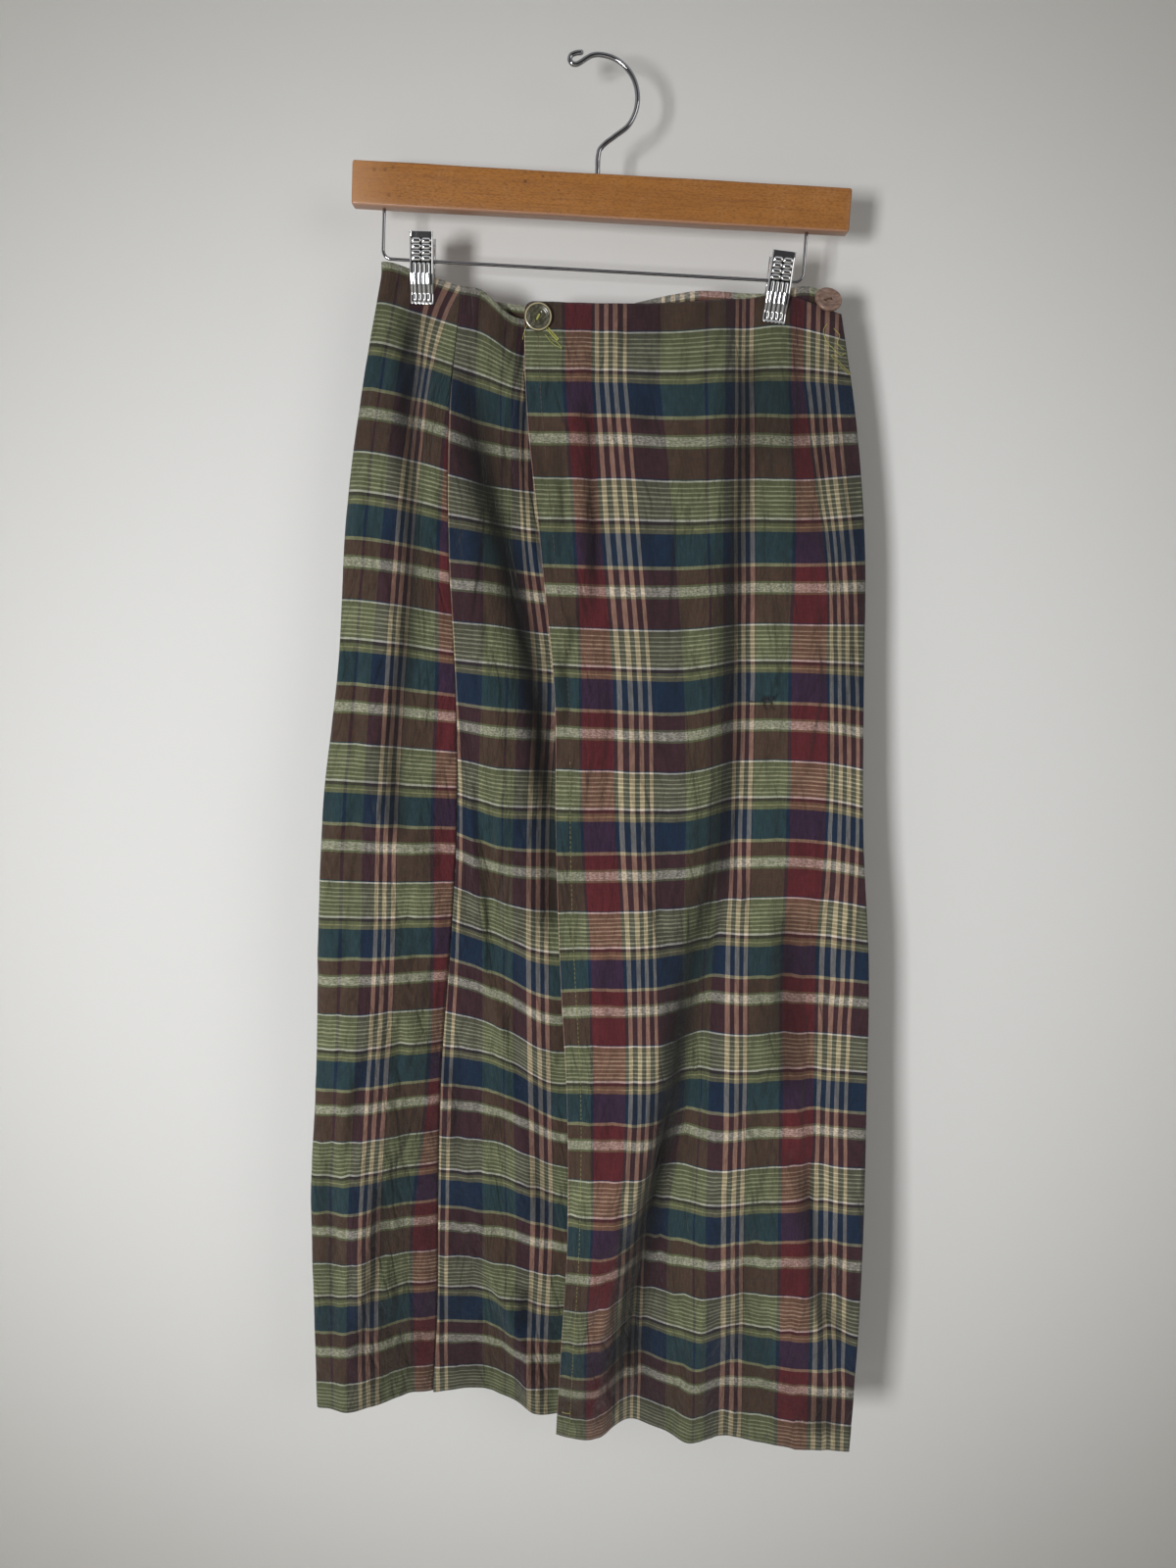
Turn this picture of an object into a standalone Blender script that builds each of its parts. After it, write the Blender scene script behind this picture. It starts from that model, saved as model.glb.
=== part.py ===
"""Wrap maxi skirt clipped to a wooden skirt hanger.

Metres, +Z up. The front of the skirt faces -Y and +X is to the viewer's right.
The origin is the inner top of the hanger's hook, where a rail or peg carries it.
Sizes below are in millimetres, and MM turns them into metres.
"""
import math

import bmesh
import bpy
import numpy as np
from mathutils import Matrix, Vector

MM = 0.001

# Cloth. WAIST_Z is the height of the waist datum, and "down" is counted from it.
WALL = 1.4
WAIST_Z = -164.0
SKIRT_LENGTH = 888.0
WAIST_STAND = 8.0
CORNER_RADIUS = 8.0
SEAM_GAP = 0.3
SEAM_INSET = 0.2
SIDE_TURN = 9.0
TURN_INSET = 5.0
CLIPPED_DEPTH = 1.0
GRIP_MARGIN = 3.0
GRIP_SPREAD = 34.0
GRIP_DOWN = (22.0, 82.0)
FOLD_EASE = (70.0, 40.0)

# Rows and columns of each panel's grid.
OVER_GRID = (26, 34)
UNDER_GRID = (15, 26)
BACK_GRID = (46, 28)

# Over panel, in front: x of the leading edge, of the first cream lines, of the
# second cream lines and of the right fold, with the cloth distance to each.
OVER_ACROSS = {
    "down": (0, 70, 175, 280, 385, 490, 597, 702, 808, 888),
    "edge": (-57, -56, -46, -36, -35, -32, -27, -27, -33, -37),
    "creamsFour": (-3, 5, 14, 23, 26, 30, 32, 28, 22, 23),
    "creamsThree": (98, 101, 103, 106, 105, 104, 104, 103, 104, 104),
    "creamsRight": (150, 158, 173, 180, 183, 183, 180, 180, 180, 178),
    "fold": (172, 183, 194, 196, 198, 205, 206, 205, 201, 198),
}
OVER_CLOTH = {"edge": 0, "creamsFour": 60, "creamsThree": 153, "creamsRight": 229, "fold": 250}
OVER_DEPTH = {
    "down": (0, 70, 175, 280, 385, 490, 597, 702, 808, 888),
    "edge": (-9, -13, -17, -24, -34, -42, -44, -44, -32, -14),
    "creamsFour": (-9, -14, -18, -24, -30, -34, -34, -32, -23, -10),
    "middle": (-9, -13, -16, -20, -22, -22, -26, -29, -28, -20),
    "creamsThree": (-7, -12, -14, -16, -16, -18, -27, -33, -30, -26),
    "right": (-5, -8, -10, -12, -13, -14, -21, -33, -40, -42),
    "fold": (-5, -5, -8, -12, -18, -22, -27, -36, -46, -44),
}
OVER_LIFT = {
    "down": (0, 98, 204, 310, 415, 520, 626, 731, 837, 888),
    "edge": (-2, 1, -2, -1, -3, -1, 0, 0, 0, 4),
    "creamsFour": (-3, 0, -4, -4, -4, -1, 0, 0, 0, 0),
    "middle": (-3, -2, -4, -5, -4, 0, 0, 0, 0, 0),
    "creamsThree": (1, 0, -1, 2, 2, 1, 0, 0, 0, 0),
    "right": (3, 0, -1, 1, 1, 0, 0, 0, 0, 0),
    "fold": (-10, 2, 0, -3, -4, -1, 0, 0, 0, 0),
}
OVER_STATIONS = {"edge": 0, "creamsFour": 60, "middle": 105, "creamsThree": 153, "right": 215, "fold": 250}

# Back panel: it starts at the right seam, crosses the back, turns round the left
# fold and ends at the left side seam, which shows on the front.
BACK_ACROSS = {
    "down": (0, 70, 175, 280, 385, 490, 597, 702, 808, 888),
    "fold": (-160, -174, -190, -198, -211, -217, -221, -229, -230, -231),
    "creams": (-115, -131, -145, -156, -164, -169, -178, -186, -191, -193),
    "seam": (-103, -111, -114, -111, -112, -119, -129, -134, -137, -142),
}
WRAP_DEPTH = {
    "down": (0, 98, 204, 310, 415, 520, 626, 731, 837, 888),
    "fold": (-2, -6, -10, -16, -24, -30, -34, -34, -32, -30),
    "creams": (-5, -12, -14, -18, -26, -30, -33, -30, -28, -30),
    "seam": (-8, -12, -11, -8, -4, 0, 6, 9, 10, 10),
}
BACK_DEPTH = {
    "down": (0, 98, 204, 310, 415, 520, 626, 731, 837, 888),
    "foldLeft": (3, 1, -2, -7, -14, -19, -23, -23, -22, -21),
    "left": (3, 10, 15, 19, 22, 25, 27, 29, 30, 30),
    "middle": (7, 12, 17, 22, 26, 29, 31, 32, 33, 33),
    "right": (3, 9, 14, 18, 22, 24, 26, 27, 26, 26),
    "foldRight": (5, 5, 3, 0, -6, -12, -15, -22, -32, -33),
}
BACK_ALONG = {"foldLeft": 0.0, "left": 0.22, "middle": 0.55, "right": 0.8, "foldRight": 1.0}
BACK_TURN = 0.76
WRAP_ALONG = {"fold": 0.0, "creams": 0.5, "seam": 1.0}
BACK_LIFT = {
    "down": (-8, 98, 310, 520, 731, 888),
    "seamRight": (-1, 1, -2, 0, 0, 0),
    "besideClip": (3, 1, -2, 0, 0, 0),
    "clip": (-2, 0, -1, 0, 0, 0),
    "right": (0, 0, 0, 0, 2, 3),
    "middle": (-12, -5, -2, 2, 6, 8),
    "left": (-2, 8, 10, 12, 16, 20),
    "fold": (19, 20, 17, 20, 24, 27),
    "creams": (12, 15, 14, 19, 26, 31),
    "seam": (2, 5, 8, 14, 14, 14),
}
BACK_STATIONS = {"seamRight": 0.0, "besideClip": 0.04, "clip": 0.11, "right": 0.22, "middle": 0.42,
                 "left": 0.62, "fold": BACK_TURN, "creams": 0.88, "seam": 1.0}

# Under panel: it runs from the left side seam behind the over panel.
UNDER_ACROSS = {
    "down": (0, 70, 175, 280, 385, 490, 597, 702, 808, 888),
    "seam": (-103, -111, -114, -111, -112, -119, -129, -134, -137, -142),
    "creams": (-66, -61, -55, -47, -49, -50, -50, -48, -53, -56),
    "end": (88, 92, 98, 102, 106, 110, 112, 112, 112, 112),
}
UNDER_DEPTH = {
    "down": (0, 98, 204, 310, 415, 520, 626, 731, 837, 888),
    "seam": (-8, -12, -11, -8, -4, 0, 6, 9, 10, 10),
    "near": (-6, -11, -10, -6, 0, 4, 10, 14, 15, 15),
    "creams": (-4, -9, -10, -8, -7, -8, -3, 3, 6, 8),
    "behind": (-3, -4, -4, -3, -2, 0, 2, 4, 4, 4),
    "end": (-1, -2, -1, 0, 1, 2, 2, 1, 0, 0),
}
UNDER_ALONG = {"seam": 0.0, "near": 0.14, "creams": 0.29, "behind": 0.6, "end": 1.0}
UNDER_LIFT = {
    "down": (-8, 98, 204, 310, 415, 520, 626, 731, 837, 888),
    "seam": (2, 3, 2, 2, 7, 11, 9, 8, 11, 13),
    "near": (-3, -5, -1, -3, -5, -1, 4, 3, 7, 14),
    "creams": (-19, -10, -7, -6, -8, -17, -11, -5, -2, 0),
    "behind": (-16, -12, -10, -10, -10, -14, -16, -10, -4, 0),
    "end": (-8, -6, -4, -4, -2, 0, 2, 2, 4, 4),
}

# Largest folds: x at even steps along the fold, how far down it starts and ends,
# half widths on its left and right, and how far forward it stands at even steps.
OVER_FOLDS = (
    {"name": "bulge", "x": (72, 60, 42, 8, -4, -8), "down": (420, 900), "width": (44, 17),
     "forward": (3, 10, 17, 22, 26, 24)},
    {"name": "besideBulge", "x": (92, 80, 62, 42, 32, 26), "down": (440, 900), "width": (16, 14),
     "forward": (-8, -11, -9, -6, -7, -6)},
    {"name": "hemRidge", "x": (92, 70), "down": (600, 900), "width": (13, 16), "forward": (3, 13)},
    {"name": "dartValley", "x": (-8, 12), "down": (60, 420), "width": (12, 12), "forward": (-3, -5)},
    {"name": "middleValley", "x": (103, 103), "down": (220, 420), "width": (14, 9), "forward": (-5, -5)},
    {"name": "rightCrease", "x": (162, 192), "down": (560, 830), "width": (10, 8), "forward": (-3, -7)},
)
WRAP_FOLDS = (
    {"name": "sideFlute", "x": (-196, -204), "down": (480, 900), "width": (15, 20), "forward": (3, 8)},
    {"name": "wrapValley", "x": (-164, -160, -162), "down": (420, 900), "width": (13, 14),
     "forward": (-2, -4, -9)},
)
UNDER_FOLDS = (
    {"name": "waistTuck", "x": (-84, -60), "down": (4, 60), "width": (14, 12), "forward": (3, 3)},
    {"name": "stepFold", "x": (-103, -62), "down": (300, 620), "width": (9, 16), "forward": (-3, -8)},
    {"name": "diagonal", "x": (-116, -53), "down": (655, 900), "width": (9, 14), "forward": (4, 8)},
)
BACK_FOLDS = (
    {"name": "backLeftFlute", "x": (-88, -112), "down": (260, 900), "width": (26, 22), "forward": (-2, -7)},
    {"name": "backLeftHollow", "x": (-42, -52), "down": (300, 900), "width": (20, 24), "forward": (2, 6)},
    {"name": "backRightFlute", "x": (62, 86), "down": (240, 900), "width": (24, 20), "forward": (-2, -6)},
    {"name": "backRightHollow", "x": (118, 146), "down": (320, 900), "width": (18, 20), "forward": (2, 6)},
)

# Hanger.
BAR_SIZE = (356.0, 12.0, 30.0)
BAR_CENTRE = (-1.3, 0.0, -93.6)
BAR_TILT = 3.05
BAR_EDGE = 1.6
ROD_RADIUS = 1.2
ROD_DROP = 34.2
ROD_CORNER = 6.0
ROD_ENDS = (-156.6, 147.2)
ROD_SOCKET = 9.0
HOOK_RADIUS = 1.8
HOOK_STEM_X = -3.8
HOOK_BOW_RADIUS = 28.5
HOOK_BOW_X = -4.4
HOOK_SOCKET = 20.0
FIT_GAP = 0.3

# Clips: x where the plate crosses the rod, height of its top and lean in degrees.
CLIPS = (
    {"side": "left", "x": -130.4, "top": -118.3, "lean": 1.5},
    {"side": "right", "x": 127.2, "top": -131.6, "lean": 7.0},
)
CLIP_WIDTH = 16.2
CLIP_HEIGHT = 48.5
CLIP_PLATE = 0.9
CLIP_ROD_DROP = 18.0
CLIP_JAW_GAP = 2.0
CLIP_SLEEVE = (1.5, 2.6)
CLIP_SLEEVE_MARGIN = 2.5

# Clip plate from the side, top to bottom: distance down, distance from the middle
# plane, and how near the middle plane its side ears reach (0 where it has none).
PLATE_ROWS = (
    {"down": 0.0, "out": 9.6, "ear": 0.0},
    {"down": 4.0, "out": 8.8, "ear": 0.0},
    {"down": 8.0, "out": 8.4, "ear": 5.6},
    {"down": 14.0, "out": 8.0, "ear": 1.65},
    {"down": 18.0, "out": 7.7, "ear": 1.65},
    {"down": 22.0, "out": 7.3, "ear": 1.65},
    {"down": 28.0, "out": 6.8, "ear": 4.6},
    {"down": 35.0, "out": 4.8, "ear": 0.0},
    {"down": 41.0, "out": 2.45, "ear": 0.0},
    {"down": 47.9, "out": 2.45, "ear": 0.0},
    {"down": 48.5, "out": 3.2, "ear": 0.0},
)

# Buttons.
BUTTON_RADIUS = 10.0
BUTTON_THICKNESS = 3.2
BUTTON_HOLE_RADIUS = 1.1
BUTTON_HOLE_SPACING = 4.6
BUTTONS = (
    {"name": "button_front", "across": 0.043, "along": 0.013, "rise": 0.0, "lean": (0.0, 0.0, 0.0),
     "turn": 60.0, "look": "horn"},
    {"name": "button_side", "across": 0.932, "along": 0.0, "rise": 7.0, "lean": (0.2, 0.0, 0.5),
     "turn": 12.0, "look": "brownButton"},
)

COLOURS = {
    "cloth": (0.10, 0.075, 0.055, 1.0),
    "wood": (0.43, 0.16, 0.035, 1.0),
    "chrome": (0.72, 0.72, 0.73, 1.0),
    "horn": (0.16, 0.13, 0.06, 1.0),
    "brownButton": (0.20, 0.095, 0.06, 1.0),
}


def clear_scene():
    """Start from nothing."""
    for item in list(bpy.data.objects):
        bpy.data.objects.remove(item, do_unlink=True)


def new_collection(name):
    group = bpy.data.collections.new(name)
    bpy.context.scene.collection.children.link(group)
    return group


def material(name, colour, roughness, metallic=0.0):
    result = bpy.data.materials.new(name)
    result.use_nodes = True
    shader = result.node_tree.nodes["Principled BSDF"]
    shader.inputs["Base Color"].default_value = colour
    shader.inputs["Roughness"].default_value = roughness
    shader.inputs["Metallic"].default_value = metallic
    return result


def add_object(name, data, group, look=None):
    item = bpy.data.objects.new(name, data)
    group.objects.link(item)
    if look is not None:
        data.materials.append(look)
    return item


def smooth_curve(knots, values, at):
    """Cubic through the knots with slopes taken from the neighbours, for arrays."""
    knots = np.asarray(knots, dtype=float)
    values = np.asarray(values, dtype=float)
    slopes = np.gradient(values, knots)
    at = np.clip(at, knots[0], knots[-1])
    cell = np.clip(np.searchsorted(knots, at, side="right") - 1, 0, len(knots) - 2)
    span = knots[cell + 1] - knots[cell]
    f = (at - knots[cell]) / span
    return ((2 * f**3 - 3 * f**2 + 1) * values[cell]
            + (f**3 - 2 * f**2 + f) * span * slopes[cell]
            + (-2 * f**3 + 3 * f**2) * values[cell + 1]
            + (f**3 - f**2) * span * slopes[cell + 1])


def table_at(table, stations, along, down):
    """Value of a table at each (along, down): smooth down each column, then across them."""
    names = [name for name in table if name != "down"]
    columns = np.stack([smooth_curve(table["down"], table[name], down) for name in names])
    knots = np.array([stations[name] for name in names], dtype=float)
    slopes = np.gradient(columns, knots, axis=0)
    along = np.clip(along, knots[0], knots[-1])
    cell = np.clip(np.searchsorted(knots, along, side="right") - 1, 0, len(knots) - 2)
    span = knots[cell + 1] - knots[cell]
    f = (along - knots[cell]) / span
    rows, cols = np.indices(along.shape)
    here, after = columns[cell, rows, cols], columns[cell + 1, rows, cols]
    slope_here, slope_after = slopes[cell, rows, cols], slopes[cell + 1, rows, cols]
    return ((2 * f**3 - 3 * f**2 + 1) * here + (f**3 - 2 * f**2 + f) * span * slope_here
            + (-2 * f**3 + 3 * f**2) * after + (f**3 - f**2) * span * slope_after)


def fold_depth(folds, x, down):
    """Sum of soft ridges: each is a bell across its own line, eased in and out along it."""
    total = np.zeros_like(x)
    for fold in folds:
        start, end = fold["down"]
        share = (down - start) / (end - start)
        centre = even_steps(share, fold["x"])
        forward = even_steps(share, fold["forward"])
        ease_in = np.clip((down - start) / FOLD_EASE[0] + 0.5, 0, 1)
        ease_out = np.clip((end - down) / FOLD_EASE[1] + 0.5, 0, 1) if end < SKIRT_LENGTH else 1.0
        side = np.where(x < centre, fold["width"][0], fold["width"][1])
        bell = np.exp(-((x - centre) / side) ** 2)
        total += forward * bell * smooth_step(ease_in) * smooth_step(ease_out)
    return total


def even_steps(share, values):
    """Straight between values that are spaced evenly over shares 0 to 1."""
    return np.interp(share, np.linspace(0, 1, len(values)), values)


def smooth_step(f):
    return f * f * (3 - 2 * f)


def clip_grip(x, down):
    """1 where a clip's jaws hold the cloth, falling to 0 away from them."""
    grip = np.zeros_like(x)
    start, end = GRIP_DOWN
    for clip in CLIPS:
        lean = math.tan(math.radians(clip["lean"]))
        centre = clip["x"] - (CLIP_HEIGHT - CLIP_ROD_DROP) * lean
        across = np.clip(1 - (np.abs(x - centre) - CLIP_WIDTH / 2 - GRIP_MARGIN) / GRIP_SPREAD, 0, 1)
        below = np.clip((end - down) / (end - start), 0, 1)
        grip = np.maximum(grip, smooth_step(across) * smooth_step(below))
    return grip


def over_panel(across, along):
    """Points of the over panel: across 0..1 from leading edge to right seam, along 0..1 down."""
    cloth = across * (OVER_CLOTH["fold"] + SIDE_TURN)
    corner = np.clip(1 - cloth / CORNER_RADIUS, 0, 1)
    top = CORNER_RADIUS * (1 - np.sqrt(np.clip(1 - corner**2, 0, 1)))
    down = top + (SKIRT_LENGTH - top) * along
    front = np.minimum(cloth, OVER_CLOTH["fold"])
    x = table_at(OVER_ACROSS, OVER_CLOTH, front, down)
    y = table_at(OVER_DEPTH, OVER_STATIONS, front, down) - fold_depth(OVER_FOLDS, x, down)
    lift = table_at(OVER_LIFT, OVER_STATIONS, front, down)
    past = np.clip(cloth - OVER_CLOTH["fold"], 0, None)
    turn = np.pi / 2 * past / SIDE_TURN
    y_behind = seam_depth_right(down)
    grip = clip_grip(x, down)
    y = -CLIPPED_DEPTH + (y + CLIPPED_DEPTH) * (1 - grip)
    y = y + (y_behind - y) * np.sin(turn) ** 2
    x = x - TURN_INSET * (1 - np.cos(turn))
    return np.stack([x, y, WAIST_Z - down + lift], axis=-1)


def seam_depth_right(down):
    """Depth of the over panel's end at the right side seam, just in front of the back panel's."""
    return smooth_curve(BACK_DEPTH["down"], BACK_DEPTH["foldRight"], down) - WALL / 2 - 2 * SEAM_GAP


def back_panel(across, along):
    """Points of the back panel: across 0..1 from right seam, round the left fold, to left seam."""
    down = -WAIST_STAND + (SKIRT_LENGTH + WAIST_STAND) * along
    fold_x = smooth_curve(BACK_ACROSS["down"], BACK_ACROSS["fold"], down)
    seam_x = smooth_curve(BACK_ACROSS["down"], BACK_ACROSS["seam"], down) - SEAM_INSET
    right_x = smooth_curve(OVER_ACROSS["down"], OVER_ACROSS["fold"], down) - TURN_INSET + WALL / 3
    front_y = smooth_curve(WRAP_DEPTH["down"], WRAP_DEPTH["fold"], down)
    back_y = smooth_curve(BACK_DEPTH["down"], BACK_DEPTH["foldLeft"], down)
    radius = np.maximum((back_y - front_y) / 2, 2.2)
    behind = across < BACK_TURN
    reach_back = np.sqrt((right_x - fold_x + radius) ** 2 - radius**2)
    reach_front = np.sqrt((seam_x - fold_x + radius) ** 2 - radius**2)
    cloth = np.where(behind, (across / BACK_TURN - 1) * reach_back,
                     (across - BACK_TURN) / (1 - BACK_TURN) * reach_front)
    x = fold_x + np.sqrt(cloth**2 + radius**2) - radius
    y_back = table_at(BACK_DEPTH, BACK_ALONG, np.clip((x - fold_x) / (right_x - fold_x), 0, 1), down)
    y_back = y_back - fold_depth(BACK_FOLDS, x, down)
    y_front = table_at(WRAP_DEPTH, WRAP_ALONG, np.clip((x - fold_x) / (seam_x - fold_x), 0, 1),
                       down)
    y_front = y_front - fold_depth(WRAP_FOLDS, x, down)
    grip = clip_grip(x, down)
    y_back = CLIPPED_DEPTH + (y_back - CLIPPED_DEPTH) * (1 - grip)
    y_front = -CLIPPED_DEPTH + (y_front + CLIPPED_DEPTH) * (1 - grip)
    side = 0.5 * (1 + np.tanh(cloth / radius))
    y = y_back * (1 - side) + y_front * side
    lift = table_at(BACK_LIFT, BACK_STATIONS, across, down)
    return np.stack([x, y, WAIST_Z - down + lift], axis=-1)


def under_panel(across, along):
    """Points of the under panel: across 0..1 from left seam to its hidden end."""
    down = -WAIST_STAND + (SKIRT_LENGTH + WAIST_STAND) * along
    x = table_at(UNDER_ACROSS, {"seam": 0.0, "creams": UNDER_ALONG["creams"], "end": 1.0}, across, down)
    x = x + SEAM_INSET
    y = table_at(UNDER_DEPTH, UNDER_ALONG, across, down) - fold_depth(UNDER_FOLDS, x, down)
    lift = table_at(UNDER_LIFT, UNDER_ALONG, across, down)
    grip = clip_grip(x, down)
    y = -CLIPPED_DEPTH + (y + CLIPPED_DEPTH) * (1 - grip * (x < 0))
    return np.stack([x, y, WAIST_Z - down + lift], axis=-1)


def cloth_panel(name, surface, grid, group, look):
    """One cut piece of cloth: a grid of the surface's points with a wall of even thickness."""
    columns, rows = grid
    across, along = np.meshgrid(np.linspace(0, 1, columns + 1), np.linspace(0, 1, rows + 1))
    points = surface(across, along).reshape(-1, 3) * MM
    index = np.arange((columns + 1) * (rows + 1)).reshape(rows + 1, columns + 1)
    faces = np.stack([index[:-1, :-1], index[1:, :-1], index[1:, 1:], index[:-1, 1:]], axis=-1)
    mesh = bpy.data.meshes.new(name)
    mesh.from_pydata(points.tolist(), [], faces.reshape(-1, 4).tolist())
    mesh.shade_smooth()
    panel = add_object(name, mesh, group, look)
    wall = panel.modifiers.new("wall", "SOLIDIFY")
    wall.thickness = WALL * MM
    wall.offset = 0.0
    return panel


def wire(name, points, radius, group, look):
    """Round wire along the points, with closed ends."""
    data = bpy.data.curves.new(name, "CURVE")
    data.dimensions = "3D"
    data.bevel_depth = radius * MM
    data.bevel_resolution = 2
    data.use_fill_caps = True
    spline = data.splines.new("POLY")
    spline.points.add(len(points) - 1)
    for target, point in zip(spline.points, points):
        target.co = (point[0] * MM, point[1] * MM, point[2] * MM, 1.0)
    return add_object(name, data, group, look)


def arc(centre, radius, start, end, steps):
    """Points of an arc in the XZ plane, angles in degrees from +X towards +Z."""
    angles = [math.radians(start + (end - start) * i / steps) for i in range(steps + 1)]
    return [(centre[0] + radius * math.cos(a), 0.0, centre[1] + radius * math.sin(a)) for a in angles]


def on_bar(x, z):
    """Point of the tilted bar, from its own x and z, in millimetres."""
    tilt = math.radians(-BAR_TILT)
    return (BAR_CENTRE[0] + x * math.cos(tilt) - z * math.sin(tilt), 0.0,
            BAR_CENTRE[2] + x * math.sin(tilt) + z * math.cos(tilt))


def cutter_rod(name, radius, depth, place, tilt, group):
    """Upright round cutter, turned with the bar."""
    mesh = bpy.data.meshes.new(name)
    shape = bmesh.new()
    bmesh.ops.create_cone(shape, cap_ends=True, segments=14, radius1=radius * MM,
                          radius2=radius * MM, depth=depth * MM)
    shape.to_mesh(mesh)
    shape.free()
    cutter = add_object(name, mesh, group)
    cutter.location = Vector(place) * MM
    cutter.rotation_euler = (0.0, math.radians(tilt), 0.0)
    cutter.hide_render = True
    cutter.display_type = "WIRE"
    return cutter


def cut(item, cutter):
    step = item.modifiers.new(cutter.name, "BOOLEAN")
    step.operation = "DIFFERENCE"
    step.solver = "EXACT"
    step.object = cutter


def rod_foot_x(index):
    """Bar-frame x of a rod end."""
    return ROD_ENDS[index] - BAR_CENTRE[0]


def build_bar(group, cutters, look):
    """Wooden bar with rounded edges and drilled sockets for the hook and the rod."""
    mesh = bpy.data.meshes.new("hanger_bar")
    shape = bmesh.new()
    bmesh.ops.create_cube(shape, size=1.0)
    bmesh.ops.scale(shape, vec=Vector(BAR_SIZE) * MM, verts=shape.verts)
    shape.to_mesh(mesh)
    shape.free()
    bar = add_object("hanger_bar", mesh, group, look)
    bar.location = Vector(BAR_CENTRE) * MM
    bar.rotation_euler = (0.0, math.radians(BAR_TILT), 0.0)
    edge = bar.modifiers.new("edge", "BEVEL")
    edge.width = BAR_EDGE * MM
    edge.segments = 2
    half = BAR_SIZE[2] / 2
    hook_hole = cutter_rod("hook_socket", HOOK_RADIUS + FIT_GAP, 2 * HOOK_SOCKET + 2,
                           on_bar(HOOK_STEM_X, half), BAR_TILT, cutters)
    cut(bar, hook_hole)
    for index, side in enumerate(("left", "right")):
        foot = on_bar(rod_foot_x(index), -half)
        hole = cutter_rod("rod_socket_" + side, ROD_RADIUS + FIT_GAP, 2 * ROD_SOCKET + 2,
                          foot, BAR_TILT, cutters)
        cut(bar, hole)
    return bar


def hook_route():
    """Wire hook: straight stem, a bend, a slant, the round bow and a tip curled back over itself."""
    half = BAR_SIZE[2] / 2
    foot = on_bar(HOOK_STEM_X, half - HOOK_SOCKET + 1.0)
    stem_top = on_bar(HOOK_STEM_X, half + 14.5)
    bow_centre = (HOOK_BOW_X, -(HOOK_BOW_RADIUS - HOOK_RADIUS))
    stem = [foot, stem_top, (-2.8, 0.0, -61.1), (-0.7, 0.0, -58.5), (7.8, 0.0, -52.1)]
    bow = arc(bow_centre, HOOK_BOW_RADIUS, -38, 92, 14)
    tip = [(-9.2, 0.0, 0.9), (-12.4, 0.0, -0.8), (-16.4, 0.0, -3.3), (-19.4, 0.0, -4.5),
           (-22.4, 0.0, -3.9), (-23.9, 0.0, -1.2), (-22.8, 0.0, 1.4), (-20.2, 0.0, 2.6), (-15.2, 0.0, 3.3)]
    return stem + bow + tip


def build_hanger(group, cutters, looks):
    build_bar(group, cutters, looks["wood"])
    wire("hanger_hook", hook_route(), HOOK_RADIUS, group, looks["chrome"])
    half = BAR_SIZE[2] / 2
    left, right = rod_foot_x(0), rod_foot_x(1)
    low = -half - ROD_DROP
    inner = ROD_SOCKET - 1.0
    corner = ROD_CORNER
    turn = [math.radians(90.0 * i / 4) for i in range(5)]
    own = [(left, -half + inner), (left, -half - 4.0)]
    own += [(left + corner - corner * math.cos(a), low + corner - corner * math.sin(a)) for a in turn]
    own += [(right - corner + corner * math.sin(a), low + corner - corner * math.cos(a)) for a in turn]
    own += [(right, -half - 4.0), (right, -half + inner)]
    wire("hanger_rod", [on_bar(x, z) for x, z in own], ROD_RADIUS, group, looks["chrome"])


def build_plate(name, clip, outward, group, look):
    """Pressed plate: its rows carried across, with ears turned in at both sides of the rod."""
    half = CLIP_WIDTH / 2
    columns = (-half, -half / 3, half / 3, half)
    mesh = bpy.data.meshes.new(name)
    shape = bmesh.new()
    grid = [[shape.verts.new((x, outward * row["out"], -row["down"])) for x in columns]
            for row in PLATE_ROWS]
    for upper, lower in zip(grid[:-1], grid[1:]):
        for i in range(len(columns) - 1):
            shape.faces.new((upper[i], lower[i], lower[i + 1], upper[i + 1]))
    eared = [i for i, row in enumerate(PLATE_ROWS) if row["ear"] > 0]
    for side in (0, len(columns) - 1):
        edge = [grid[i][side] for i in eared]
        turned = [shape.verts.new((grid[i][side].co.x, outward * PLATE_ROWS[i]["ear"], grid[i][side].co.z))
                  for i in eared]
        for i in range(len(edge) - 1):
            shape.faces.new((edge[i], edge[i + 1], turned[i + 1], turned[i]))
    bmesh.ops.recalc_face_normals(shape, faces=shape.faces)
    bmesh.ops.scale(shape, vec=(MM, MM, MM), verts=shape.verts)
    shape.to_mesh(mesh)
    shape.free()
    plate = add_object(name, mesh, group, look)
    wall = plate.modifiers.new("wall", "SOLIDIFY")
    wall.thickness = CLIP_PLATE * MM
    wall.offset = 0.0
    wall.use_even_offset = True
    place_on_clip(plate, clip)
    return plate


def place_on_clip(item, clip):
    """Put a piece made with its top at the origin on a clip, leaned about the rod."""
    lean = math.radians(clip["lean"])
    item.rotation_euler = (0.0, lean, 0.0)
    item.location = Vector((clip["x"] + CLIP_ROD_DROP * math.sin(lean), 0.0, clip["top"])) * MM


def rod_height(x):
    """Height of the rod's middle line at x."""
    tilt = math.radians(BAR_TILT)
    low = -BAR_SIZE[2] / 2 - ROD_DROP
    own_x = (x - BAR_CENTRE[0] - low * math.sin(tilt)) / math.cos(tilt)
    return on_bar(own_x, low)[2]


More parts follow.
